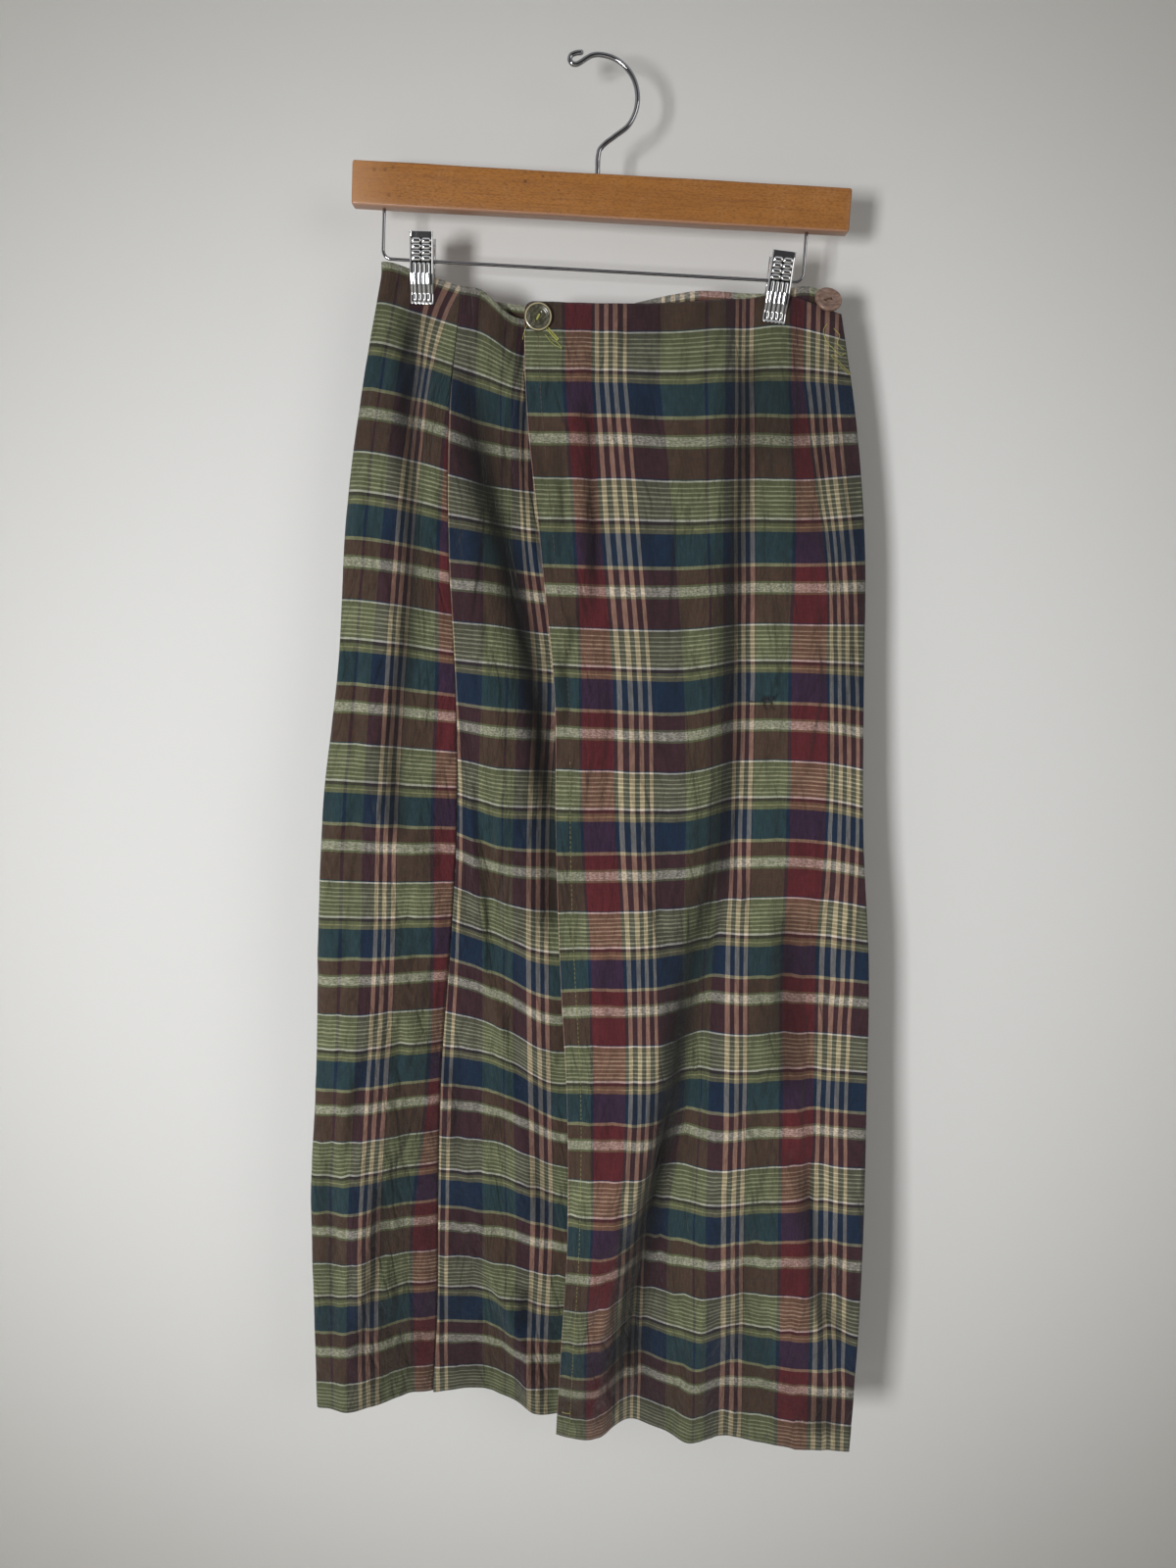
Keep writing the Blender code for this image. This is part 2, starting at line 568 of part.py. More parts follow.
def build_spring(name, clip, group, look):
    """Sleeve of the clip's spring, turned round the rod between the two plates."""
    inner, outer = CLIP_SLEEVE
    length = CLIP_WIDTH - 2 * CLIP_SLEEVE_MARGIN
    mesh = bpy.data.meshes.new(name)
    profile = [(outer, length / 2), (outer, -length / 2), (inner, -length / 2), (inner, length / 2)]
    mesh.from_pydata([(r * MM, 0.0, z * MM) for r, z in profile], [(0, 1), (1, 2), (2, 3), (3, 0)], [])
    sleeve = add_object(name, mesh, group, look)
    sleeve.rotation_euler = (0.0, math.radians(90.0 + BAR_TILT), 0.0)
    sleeve.location = Vector((clip["x"], 0.0, rod_height(clip["x"]))) * MM
    turned = sleeve.modifiers.new("turned", "SCREW")
    turned.steps = turned.render_steps = 14
    turned.use_merge_vertices = True
    turned.merge_threshold = 0.00001
    return sleeve


def build_clips(group, look):
    for clip in CLIPS:
        stem = "clip_" + clip["side"]
        build_plate(stem + "_front", clip, -1.0, group, look)
        build_plate(stem + "_back", clip, 1.0, group, look)
        build_spring(stem + "_spring", clip, group, look)


def button_place(row):
    """Turn and place of a button lying on the over panel, leaned back where it stands above the edge."""
    step = 0.004
    across, along = np.array([[row["across"]]]), np.array([[row["along"]]])
    here = over_panel(across, along)[0, 0]
    right = over_panel(across + step, along)[0, 0] - over_panel(across - step, along)[0, 0]
    below = over_panel(across, along + 2 * step)[0, 0] - here
    outward = Vector(np.cross(below, right)).normalized()
    facing = (outward + Vector(row["lean"])).normalized()
    aim = facing.to_track_quat("Z", "Y").to_matrix().to_4x4()
    up_face = (Vector((0.0, 0.0, 1.0)) - facing * facing.z).normalized()
    front = Vector(here) + outward * WALL / 2
    centre = front + facing * (FIT_GAP + BUTTON_THICKNESS / 2) + up_face * row["rise"]
    return Matrix.Translation(centre * MM) @ aim @ Matrix.Rotation(math.radians(row["turn"]), 4, "Z")


def build_button(row, group, cutters, look):
    """Turned button with a raised rim, a dished face and two sewing holes."""
    name = row["name"]
    r = BUTTON_RADIUS
    t = BUTTON_THICKNESS / 2
    profile = [(0.0, t * 0.35), (r * 0.62, t * 0.45), (r * 0.74, t), (r * 0.9, t), (r, t * 0.3),
               (r, -t * 0.4), (r * 0.86, -t), (0.0, -t)]
    mesh = bpy.data.meshes.new(name)
    mesh.from_pydata([(x * MM, 0.0, z * MM) for x, z in profile],
                     [(i, i + 1) for i in range(len(profile) - 1)], [])
    button = add_object(name, mesh, group, look)
    turned = button.modifiers.new("turned", "SCREW")
    turned.steps = turned.render_steps = 24
    turned.use_merge_vertices = True
    turned.merge_threshold = 0.00001
    place = button_place(row)
    button.matrix_world = place
    for side in (-1, 1):
        hole = cutter_rod(name + "_hole_" + str(side), BUTTON_HOLE_RADIUS, 12.0, (0, 0, 0), 0, cutters)
        shift = Matrix.Translation((side * BUTTON_HOLE_SPACING / 2 * MM, 0.0, 0.0))
        hole.matrix_world = place @ shift
        cut(button, hole)
    return button


def main():
    clear_scene()
    group = new_collection("maxi_skirt")
    cutters = new_collection("cutters")
    looks = {
        "cloth": material("cloth", COLOURS["cloth"], 0.9),
        "wood": material("wood", COLOURS["wood"], 0.45),
        "chrome": material("chrome", COLOURS["chrome"], 0.18, 1.0),
        "horn": material("horn", COLOURS["horn"], 0.3),
        "brownButton": material("brown_button", COLOURS["brownButton"], 0.4),
    }
    cloth_panel("skirt_over_front", over_panel, OVER_GRID, group, looks["cloth"])
    cloth_panel("skirt_under_front", under_panel, UNDER_GRID, group, looks["cloth"])
    cloth_panel("skirt_back", back_panel, BACK_GRID, group, looks["cloth"])
    build_hanger(group, cutters, looks)
    build_clips(group, looks["chrome"])
    for row in BUTTONS:
        build_button(row, group, cutters, looks[row["look"]])


main()
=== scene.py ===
import math

import bpy
import numpy as np
from mathutils import Matrix, Vector


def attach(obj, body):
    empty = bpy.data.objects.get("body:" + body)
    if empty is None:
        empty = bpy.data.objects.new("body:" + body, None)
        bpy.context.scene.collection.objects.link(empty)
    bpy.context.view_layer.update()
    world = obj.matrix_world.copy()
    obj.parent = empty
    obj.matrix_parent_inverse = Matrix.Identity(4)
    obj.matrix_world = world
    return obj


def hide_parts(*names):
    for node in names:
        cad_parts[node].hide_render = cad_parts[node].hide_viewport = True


# Plaid wrap skirt on a wooden clip hanger. Sizes are in millimetres and mm turns them into metres.
mm = 0.001

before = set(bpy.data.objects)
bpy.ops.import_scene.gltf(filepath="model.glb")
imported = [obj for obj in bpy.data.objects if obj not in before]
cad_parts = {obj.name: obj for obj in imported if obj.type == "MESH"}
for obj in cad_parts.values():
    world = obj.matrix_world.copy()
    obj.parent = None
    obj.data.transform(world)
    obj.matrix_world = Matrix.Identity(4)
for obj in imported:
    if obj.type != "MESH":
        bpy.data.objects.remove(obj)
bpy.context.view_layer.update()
print("frame loaded")


# Camera: 27 mm lens, tipped down at the skirt from just below the hanger.
cameraSetup = {"place": (-0.01105, -0.896, -0.38241), "tipDown": 8.6, "lens": 27.0}
cameraData = bpy.data.cameras.new("camera")
cameraData.lens = cameraSetup["lens"]
cameraData.sensor_width = 36.0
camera = bpy.data.objects.new("camera", cameraData)
camera.location = cameraSetup["place"]
camera.rotation_euler = (math.radians(90.0 - cameraSetup["tipDown"]), 0.0, 0.0)
bpy.context.scene.collection.objects.link(camera)
bpy.context.scene.camera = camera


# Curves and tables

def smoothStep(share):
    share = np.clip(share, 0.0, 1.0)
    return share * share * (3.0 - 2.0 * share)


def matched(first, second):
    return np.broadcast_arrays(np.asarray(first, dtype=float), np.asarray(second, dtype=float))


def cubicAt(knots, at, values, slopes, *pick):
    # Cubic between the knots on either side; pick chooses among several curves.
    at = np.clip(at, knots[0], knots[-1])
    cell = np.clip(np.searchsorted(knots, at, side="right") - 1, 0, len(knots) - 2)
    low, high = (cell, *pick), (cell + 1, *pick)
    span = knots[cell + 1] - knots[cell]
    f = (at - knots[cell]) / span
    return ((2 * f**3 - 3 * f**2 + 1) * values[low] + (f**3 - 2 * f**2 + f) * span * slopes[low]
            + (3 * f**2 - 2 * f**3) * values[high] + (f**3 - f**2) * span * slopes[high])


def smoothCurve(knots, values, at):
    # Smooth curve through the knots; each slope is the one between its two neighbours.
    knots = np.asarray(knots, dtype=float)
    values = np.asarray(values, dtype=float)
    return cubicAt(knots, at, values, np.gradient(values, knots))


def tableAt(table, stations, along, down):
    # Smooth down each named column first, then the same way across the columns.
    names = [name for name in table if name != "down"]
    along, down = matched(along, down)
    shape = along.shape
    along, down = along.ravel(), down.ravel()
    columns = np.stack([smoothCurve(table["down"], table[name], down) for name in names])
    knots = np.array([stations[name] for name in names], dtype=float)
    slopes = np.gradient(columns, knots, axis=0)
    return cubicAt(knots, along, columns, slopes, np.arange(along.size)).reshape(shape)


def smoothPath(points, count):
    # The same curve through a list of points, walked at even steps of their running length.
    points = np.asarray(points, dtype=float)
    reach = np.concatenate([[0.0], np.cumsum(np.linalg.norm(np.diff(points, axis=0), axis=1))])
    at = np.linspace(0.0, reach[-1], count)
    return np.stack([smoothCurve(reach, points[:, axis], at) for axis in range(points.shape[1])], axis=1)


# Meshes

def makePiece(name, points, faces, material, smooth=True, uv=None, shade=None):
    mesh = bpy.data.meshes.new(name)
    mesh.from_pydata((np.asarray(points).reshape(-1, 3)).tolist(), [], faces)
    mesh.polygons.foreach_set("use_smooth", np.full(len(mesh.polygons), smooth))
    if uv is not None:
        corner = np.empty(len(mesh.loops), dtype=np.int32)
        mesh.loops.foreach_get("vertex_index", corner)
        layer = mesh.uv_layers.new(name="cloth")
        layer.data.foreach_set("uv", np.asarray(uv).reshape(-1, 2)[corner].ravel())
    if shade is not None:
        layer = mesh.attributes.new("shade", "FLOAT", "POINT")
        layer.data.foreach_set("value", np.asarray(shade, dtype=float).ravel())
    mesh.materials.append(material)
    mesh.validate()
    mesh.update()
    piece = bpy.data.objects.new(name, mesh)
    bpy.context.scene.collection.objects.link(piece)
    return piece


def gridFaces(rows, columns, around=False):
    # Quads of a grid of rows x columns points; around joins the last column to the first.
    index = np.arange(rows * columns).reshape(rows, columns)
    if around:
        index = np.concatenate([index, index[:, :1]], axis=1)
    quads = np.stack([index[:-1, :-1], index[1:, :-1], index[1:, 1:], index[:-1, 1:]], axis=-1)
    return quads.reshape(-1, 4).tolist()


def unit(vectors):
    return vectors / np.maximum(np.linalg.norm(vectors, axis=-1, keepdims=True), 1e-12)


def tubeFaces(rings, sides):
    # Quads from ring to ring, and one face that closes each end.
    last = rings * sides
    ends = [list(range(sides)), list(range(last - 1, last - sides - 1, -1))]
    return gridFaces(rings, sides, around=True) + ends


def tubeSurface(path, radius, sides, upward):
    # Circle carried along a path: every ring stands square to the path and is levelled by one
    # fixed direction; three rings at each end shrink like a dome and a small face closes it.
    path = np.asarray(path, dtype=float)
    radius = np.broadcast_to(np.asarray(radius, dtype=float), (len(path),))
    heading = unit(np.gradient(path, axis=0))
    dome = np.array([0.35, 0.72, 0.93])
    reach = np.sqrt(1 - dome**2)
    start = path[0] - heading[0] * radius[0] * (reach - reach[-1])[:, None]
    end = path[-1] + heading[-1] * radius[-1] * (reach - reach[-1])[::-1, None]
    path = np.concatenate([start, path, end])
    heading = np.concatenate([np.tile(heading[0], (3, 1)), heading, np.tile(heading[-1], (3, 1))])
    radius = np.concatenate([dome * radius[0], radius, dome[::-1] * radius[-1]])
    side = unit(np.cross(heading, np.asarray(upward, dtype=float)))
    over = np.cross(side, heading)
    turn = np.linspace(0, 2 * np.pi, sides, endpoint=False)
    ring = side[:, None] * np.cos(turn)[None, :, None] + over[:, None] * np.sin(turn)[None, :, None]
    points = path[:, None] + ring * radius[:, None, None]
    return points, tubeFaces(len(path), sides)


def flipFaces(faces):
    return [face[::-1] for face in faces]


def makeTube(name, path, radius, material, sides=10, upward=(0, 1, 0)):
    points, faces = tubeSurface(path, radius, sides, upward)
    return makePiece(name, points * mm, flipFaces(faces), material)


def turnedSurface(profile, sides):
    # Profile of (radius, height) rows turned about the height axis; the two poles are single points.
    profile = np.asarray(profile, dtype=float)
    turn = np.linspace(0, 2 * np.pi, sides, endpoint=False)
    body = profile[1:-1]
    ring = np.stack([np.cos(turn), np.sin(turn), np.zeros(sides)], axis=1)
    points = body[:, None, :1] * ring[None] + body[:, None, 1:] * np.array([0.0, 0.0, 1.0])
    points = np.concatenate([points.reshape(-1, 3), [[0, 0, profile[0, 1]]], [[0, 0, profile[-1, 1]]]])
    faces = gridFaces(len(body), sides, around=True)
    top, bottom = len(body) * sides, len(body) * sides + 1
    first = np.arange(sides)
    after = np.roll(first, -1)
    foot = (len(body) - 1) * sides
    faces += np.stack([np.full(sides, top), first, after], axis=1).tolist()
    faces += np.stack([np.full(sides, bottom), foot + after, foot + first], axis=1).tolist()
    return points, faces


# Node helpers

def feed(tree, node, inputs):
    # Sockets are linked and plain values are set.
    for key, value in inputs.items():
        if isinstance(value, bpy.types.NodeSocket):
            tree.links.new(value, node.inputs[key])
        else:
            node.inputs[key].default_value = value


def addNode(tree, kind, inputs=None, **settings):
    node = tree.nodes.new(kind)
    for key, value in settings.items():
        setattr(node, key, value)
    feed(tree, node, inputs or {})
    return node


def calc(tree, operation, first, second=0.0, third=0.0):
    return addNode(tree, "ShaderNodeMath", {0: first, 1: second, 2: third}, operation=operation).outputs[0]


def distanceOf(tree, first, second):
    # Length of a flat step from its two sides.
    squares = calc(tree, "ADD", calc(tree, "POWER", first, 2.0), calc(tree, "POWER", second, 2.0))
    return calc(tree, "SQRT", squares)


def mixColours(tree, share, first, second, blend="MIX"):
    first, second = ((*colour, 1.0) if isinstance(colour, tuple) else colour for colour in (first, second))
    node = addNode(tree, "ShaderNodeMix", {0: share, 6: first, 7: second}, data_type="RGBA",
                   blend_type=blend)
    return node.outputs[2]


def greyOf(tree, value):
    return addNode(tree, "ShaderNodeCombineColor", {0: value, 1: value, 2: value}).outputs[0]


def axesOf(tree, place):
    return addNode(tree, "ShaderNodeSeparateXYZ", {0: place}).outputs


def objectPlace(tree):
    return addNode(tree, "ShaderNodeTexCoord").outputs["Object"]


def clothPlace(tree):
    return addNode(tree, "ShaderNodeUVMap", uv_map="cloth").outputs["UV"]


def shadeOf(tree):
    return addNode(tree, "ShaderNodeAttribute", attribute_name="shade").outputs["Fac"]


def reliefOf(tree, height, strength, distance):
    # Normal of a relief; distance is its height in millimetres.
    return addNode(tree, "ShaderNodeBump", {"Height": height, "Strength": strength,
                                            "Distance": distance * mm}).outputs["Normal"]


def noiseOn(tree, place, scale, detail=3.0, roughness=0.5):
    inputs = {"Vector": place, "Scale": scale, "Detail": detail, "Roughness": roughness}
    return addNode(tree, "ShaderNodeTexNoise", inputs).outputs["Fac"]


def stretched(tree, place, scale, turn=(0.0, 0.0, 0.0)):
    return addNode(tree, "ShaderNodeMapping", {"Vector": place, "Scale": scale,
                                               "Rotation": turn}).outputs[0]


def between(tree, value, low, high):
    # 0 below low, 1 above high, eased between them.
    inputs = {"Value": value, "From Min": low, "From Max": high}
    return addNode(tree, "ShaderNodeMapRange", inputs, interpolation_type="SMOOTHSTEP").outputs["Result"]


def newMaterial(name):
    material = bpy.data.materials.new(name)
    material.use_nodes = True
    tree = material.node_tree
    return material, tree, tree.nodes["Principled BSDF"]


def newGroup(name, place, values, outputs):
    # One place socket, then number sockets with their usual values; every output is a number.
    group = bpy.data.node_groups.new(name, "ShaderNodeTree")
    group.interface.new_socket(name=place, in_out="INPUT", socket_type="NodeSocketVector")
    for label, value in values.items():
        group.interface.new_socket(name=label, in_out="INPUT",
                                   socket_type="NodeSocketFloat").default_value = value
    for label in outputs:
        group.interface.new_socket(name=label, in_out="OUTPUT", socket_type="NodeSocketFloat")
    return group, group.nodes.new("NodeGroupInput").outputs, group.nodes.new("NodeGroupOutput")


def placeGroup(tree, group, inputs):
    return addNode(tree, "ShaderNodeGroup", inputs, node_tree=group).outputs


# Shared effects

def buildPlainWeave():
    # Warp shows where sin(pi u / pitch) x sin(pi v / pitch) is above zero and weft where it is
    # below; the height is the size of that product, so each float of yarn stands up as a bead.
    group, start, end = newGroup("plainWeave", "Cloth", {"Pitch": 0.5, "Contrast": 0.5},
                                 ("Warp Over", "Height"))
    part = axesOf(group, start["Cloth"])
    step = calc(group, "DIVIDE", math.pi / mm, start["Pitch"])
    waves = [calc(group, "SINE", calc(group, "MULTIPLY", part[axis], step)) for axis in "XY"]
    both = calc(group, "MULTIPLY", *waves)
    feed(group, end, {"Warp Over": calc(group, "MULTIPLY_ADD", both, start["Contrast"], 0.5),
                      "Height": calc(group, "ABSOLUTE", both)})
    return group


def buildYarnSlub():
    # Noise drawn out along the yarns, once for each direction: thick and thin places, light and dark.
    group, start, end = newGroup("yarnSlub", "Cloth", {"Length": 12.0}, ("Warp Shade", "Weft Shade"))
    part = axesOf(group, start["Cloth"])
    acrossScale = 0.7 / mm
    along = calc(group, "DIVIDE", 1.0 / mm, start["Length"])
    for label, narrow, lengthwise in (("Warp Shade", "X", "Y"), ("Weft Shade", "Y", "X")):
        place = addNode(group, "ShaderNodeCombineXYZ", {
            "X": calc(group, "MULTIPLY", part[narrow], acrossScale),
            "Y": calc(group, "MULTIPLY", part[lengthwise], along)})
        feed(group, end, {label: noiseOn(group, place.outputs[0], 1.0, 4.0, 0.7)})
    return group


def buildFineWear():
    # Two sizes of noise and a set of long thin scratches, as one mask and one height.
    group, start, end = newGroup("fineWear", "Place", {"Size": 60.0}, ("Mask", "Height"))
    place = addNode(group, "ShaderNodeVectorMath", {0: start["Place"], "Scale": start["Size"]},
                    operation="SCALE").outputs[0]
    coarse = noiseOn(group, place, 1.0, 4.0, 0.6)
    fine = noiseOn(group, place, 9.0, 3.0, 0.6)
    scratch = noiseOn(group, stretched(group, place, (2.0, 2.0, 40.0), (0.4, 0.5, 0.2)), 1.0, 2.0, 0.5)
    mask = calc(group, "MULTIPLY", between(group, coarse, 0.45, 0.7), between(group, fine, 0.4, 0.65))
    height = calc(group, "ADD", calc(group, "MULTIPLY", scratch, 0.5), calc(group, "MULTIPLY", fine, 0.5))
    feed(group, end, {"Mask": mask, "Height": height})
    return group


def buildCreaseNet():
    # Thin lines where a noise drawn out down the cloth crosses its middle value; a second, larger
    # noise lets them show in some places only.
    group, start, end = newGroup("creaseNet", "Cloth", {"Size": 20.0, "Slant": 0.0}, ("Crease",))
    part = axesOf(group, start["Cloth"])
    leaned = calc(group, "MULTIPLY_ADD", part["Y"], start["Slant"], part["X"])
    scale = calc(group, "DIVIDE", 1.0 / mm, start["Size"])
    place = addNode(group, "ShaderNodeCombineXYZ", {
        "X": calc(group, "MULTIPLY", leaned, scale),
        "Y": calc(group, "MULTIPLY", part["Y"], calc(group, "MULTIPLY", scale, 0.22)),
        "Z": start["Slant"]}).outputs[0]
    level = calc(group, "ABSOLUTE", calc(group, "SUBTRACT", noiseOn(group, place, 1.0, 1.5, 0.5), 0.5))
    line = between(group, level, 0.11, 0.0)
    where = between(group, noiseOn(group, place, 0.45, 2.0, 0.5), 0.42, 0.62)
    feed(group, end, {"Crease": calc(group, "MULTIPLY", line, where)})
    return group


plainWeave = buildPlainWeave()
yarnSlub = buildYarnSlub()
fineWear = buildFineWear()
creaseNet = buildCreaseNet()

# Wrinkles of washed cotton, heights in millimetres. Each net is (size, slant, depth), and darker is the
# share of painted shade along the crease lines. The scattered creases have areaEach square millimetres
# each, and dimShare is how much darker the cloth is painted at dimDown.
wrinkles = {
    "crumple": 4.5, "nets": ((26.0, 0.1, 2.0), (12.0, -0.15, 0.9), (6.0, 0.2, 0.3)), "yarn": 0.07,
    "darker": 0.22, "waves": 1.6, "creases": 1.6, "areaEach": 480.0, "length": (18.0, 110.0),
    "height": (0.9, 3.2), "reach": (2.4, 7.0), "lean": 0.16, "bend": 3.0,
    "dimDown": (0, 50, 120, 260, 560, 700, 800, 860, 900),
    "dimShare": (0.22, 0.16, 0.10, 0, 0, 0.04, 0.14, 0.26, 0.30),
}


# Plaid, charted. Widths in millimetres, in the order in which the yarns follow each other.
# Thin yarns let each other show through, so their colours are mixed as square roots and squared after.
yarns = {
    "navyWarp": (0.015, 0.026, 0.038), "greenWarp": (0.047, 0.080, 0.049),
    "redWarp": (0.092, 0.020, 0.030), "creamWarp": (0.37, 0.305, 0.225),
    "navyWeft": (0.0002, 0.0062, 0.032), "maroonWeft": (0.055, 0.0042, 0.0044),
    "greenWeft": (0.128, 0.105, 0.042), "lineWeft": (0.46, 0.42, 0.25), "whiteWeft": (0.70, 0.63, 0.53),
    "oliveWeft": (0.14, 0.115, 0.052), "brownWeft": (0.024, 0.0065, 0.005),
    "yellowWeft": (0.40, 0.33, 0.15), "beigeWeft": (0.27, 0.22, 0.12),
    "heatherWeft": (0.72, 0.61, 0.50), "leafWeft": (0.26, 0.22, 0.14),
}
creamFour = [("creamWarp", 3.1), ("navyWarp", 3.8)] * 3 + [("creamWarp", 3.1)]
creamThree = [("creamWarp", 3.0), ("navyWarp", 3.6)] * 2 + [("creamWarp", 3.0)]
fineLines = [("lineWeft", 1.0), ("greenWeft", 2.2)] * 7
plaid = {
    "warp": creamFour + [("navyWarp", 24.0), ("greenWarp", 26.0), ("navyWarp", 2.0), ("greenWarp", 11.0),
                         ("navyWarp", 10.0)] + creamThree
            + [("navyWarp", 1.2), ("greenWarp", 26.1), ("navyWarp", 3.0), ("redWarp", 24.0),
               ("navyWarp", 2.8)],
    "weft": [("greenWeft", 1.45), ("heatherWeft", 6.75), ("greenWeft", 1.55), ("maroonWeft", 21.45),
             ("navyWeft", 0.7), ("whiteWeft", 1.4), ("greenWeft", 3.5)] + fineLines
            + [("whiteWeft", 1.5), ("brownWeft", 2.6), ("greenWeft", 2.5), ("yellowWeft", 0.95),
               ("oliveWeft", 2.8), ("navyWeft", 22.65), ("beigeWeft", 2.2), ("maroonWeft", 11.1)],
    "warpStart": 0.0, "weftStart": -11.8, "yarnPitch": 0.55, "weaveContrast": 0.30,
    "slubLength": 9.0, "warpSlub": 0.38, "weftSlub": 0.44, "marlLength": 2.4, "marlWidth": 1.1,
    "wash": 0.10, "washScale": 14.0, "crumpleScale": 60.0,
    "finish": {"Roughness": 0.88, "Specular IOR Level": 0.22, "Sheen Weight": 0.12, "Sheen Roughness": 0.5},
}
black = (0.0, 0.0, 0.0)


def bandColours(tree, distance, bands, start):
    # Share of the repeat that has passed, read on a stepped ramp with one step per band.
    total = sum(width for name, width in bands)
    moved = calc(tree, "SUBTRACT", distance, start * mm)
    share = calc(tree, "FRACT", calc(tree, "DIVIDE", moved, total * mm))
    ramp = addNode(tree, "ShaderNodeValToRGB", {"Fac": share})
    ramp.color_ramp.interpolation = "CONSTANT"
    steps = ramp.color_ramp.elements
    while len(steps) > 1:
        steps.remove(steps[-1])
    passed = 0.0
    for order, (name, width) in enumerate(bands):
        step = steps[0] if order == 0 else steps.new(passed / total)
        step.position = passed / total
        step.color = (*np.sqrt(yarns[name]), 1.0)
        passed += width
    return ramp.outputs["Color"], share, total


def unevenly(tree, colour, noise, amount):
    # Lighter and darker by up to that amount, with the noise.
    change = calc(tree, "MULTIPLY_ADD", noise, 2 * amount, 1.0 - amount)
    return mixColours(tree, 1.0, colour, greyOf(tree, change), "MULTIPLY")


def buildPlaidCloth():
    material, tree, shader = newMaterial("plaidCotton")
    cloth = clothPlace(tree)
    part = axesOf(tree, cloth)
    warp = bandColours(tree, part["X"], plaid["warp"], plaid["warpStart"])[0]
    weft, weftShare, weftTotal = bandColours(tree, part["Y"], plaid["weft"], plaid["weftStart"])
    slub = placeGroup(tree, yarnSlub, {"Cloth": cloth, "Length": plaid["slubLength"]})
    # The heather band, the second of the weft, is a marled yarn: short white and leaf-green lengths
    # follow each other.
    marlScale = (1 / mm / plaid["marlLength"], 1 / mm / plaid["marlWidth"], 1.0)
    marl = noiseOn(tree, stretched(tree, cloth, marlScale), 1.0, 3.0, 0.7)
    before, heather = plaid["weft"][0][1], plaid["weft"][1][1]
    middle, reach = (before + heather / 2) / weftTotal, heather / 2 / weftTotal
    inHeather = calc(tree, "COMPARE", weftShare, middle, reach)
    leafy = mixColours(tree, between(tree, marl, 0.38, 0.60), tuple(np.sqrt(yarns["leafWeft"])), weft)
    weft = mixColours(tree, inHeather, weft, leafy)
    # Thick and thin places lighten and darken each yarn a little.
    warp = unevenly(tree, warp, slub["Warp Shade"], plaid["warpSlub"])
    weft = unevenly(tree, weft, slub["Weft Shade"], plaid["weftSlub"])
    weave = placeGroup(tree, plainWeave, {"Cloth": cloth, "Pitch": plaid["yarnPitch"],
                                          "Contrast": plaid["weaveContrast"]})
    colour = mixColours(tree, weave["Warp Over"], weft, warp)
    # Washed and hung cloth is a little uneven from place to place.
    colour = unevenly(tree, colour, noiseOn(tree, cloth, plaid["washScale"], 3.0, 0.55), plaid["wash"])
    colour = mixColours(tree, 1.0, colour, colour, "MULTIPLY")
    # Relief in millimetres: crumpled places and three sizes of crease; the crease lines get painted shade,
    # a little darker.
    crumpled = noiseOn(tree, stretched(tree, cloth, (1.0, 0.5, 1.0)), plaid["crumpleScale"], 4.0, 0.6)
    relief = calc(tree, "MULTIPLY", crumpled, wrinkles["crumple"])
    creaseLineShade = 0.0
    for size, slant, depth in wrinkles["nets"]:
        crease = placeGroup(tree, creaseNet, {"Cloth": cloth, "Size": size, "Slant": slant})["Crease"]
        relief = calc(tree, "SUBTRACT", relief, calc(tree, "MULTIPLY", crease, depth))
        creaseLineShade = calc(tree, "MAXIMUM", creaseLineShade, crease)
    # Painted shade: the colour is darkened along the crease lines.
    colour = mixColours(tree, calc(tree, "MULTIPLY", creaseLineShade, wrinkles["darker"]), colour, black)
    # Painted shade: less light reaches into the deep valleys, so the shade attribute darkens the colour
    # there; the same attribute also darkens the cloth at the waist and near the hem.
    colour = mixColours(tree, shadeOf(tree), colour, black)
    # The yarns stand on top of that relief.
    threads = calc(tree, "ADD", slub["Warp Shade"], slub["Weft Shade"])
    threads = calc(tree, "ADD", weave["Height"], threads)
    fine = addNode(tree, "ShaderNodeBump", {"Height": threads, "Strength": 1.0,
                                            "Distance": wrinkles["yarn"] * mm,
                                            "Normal": reliefOf(tree, relief, 1.0, 1.0)})
    feed(tree, shader, {"Base Color": colour, "Normal": fine.outputs["Normal"], **plaid["finish"]})
    return material


plaidCotton = buildPlaidCloth()
print("plaid ready")


# Form of the skirt, on that of the plain solids. "down" is counted from the waist line.
skirt = {
    "waistHeight": -164.0, "length": 888.0, "waistStand": 8.0, "cornerRadius": 8.0, "sideTurn": 9.0,
    "turnInset": 5.0, "seamInset": 0.2, "seamGap": 0.3, "wall": 1.4, "clippedDepth": 1.0, "backTurn": 0.76,
    "thickness": 0.9, "hemTurn": 23.5, "hemStand": 0.5,
}
foldEase = (70.0, 40.0)
grip = {"margin": 3.0, "spread": 34.0, "down": (22.0, 82.0)}
clips = (
    {"side": "Left", "node": "clip_left", "x": -130.4, "top": -118.3, "lean": 1.5},
    {"side": "Right", "node": "clip_right", "x": 127.2, "top": -131.6, "lean": 7.0},
)
clipSize = {"width": 16.2, "height": 48.5, "rodDrop": 18.0, "thickness": 0.8}

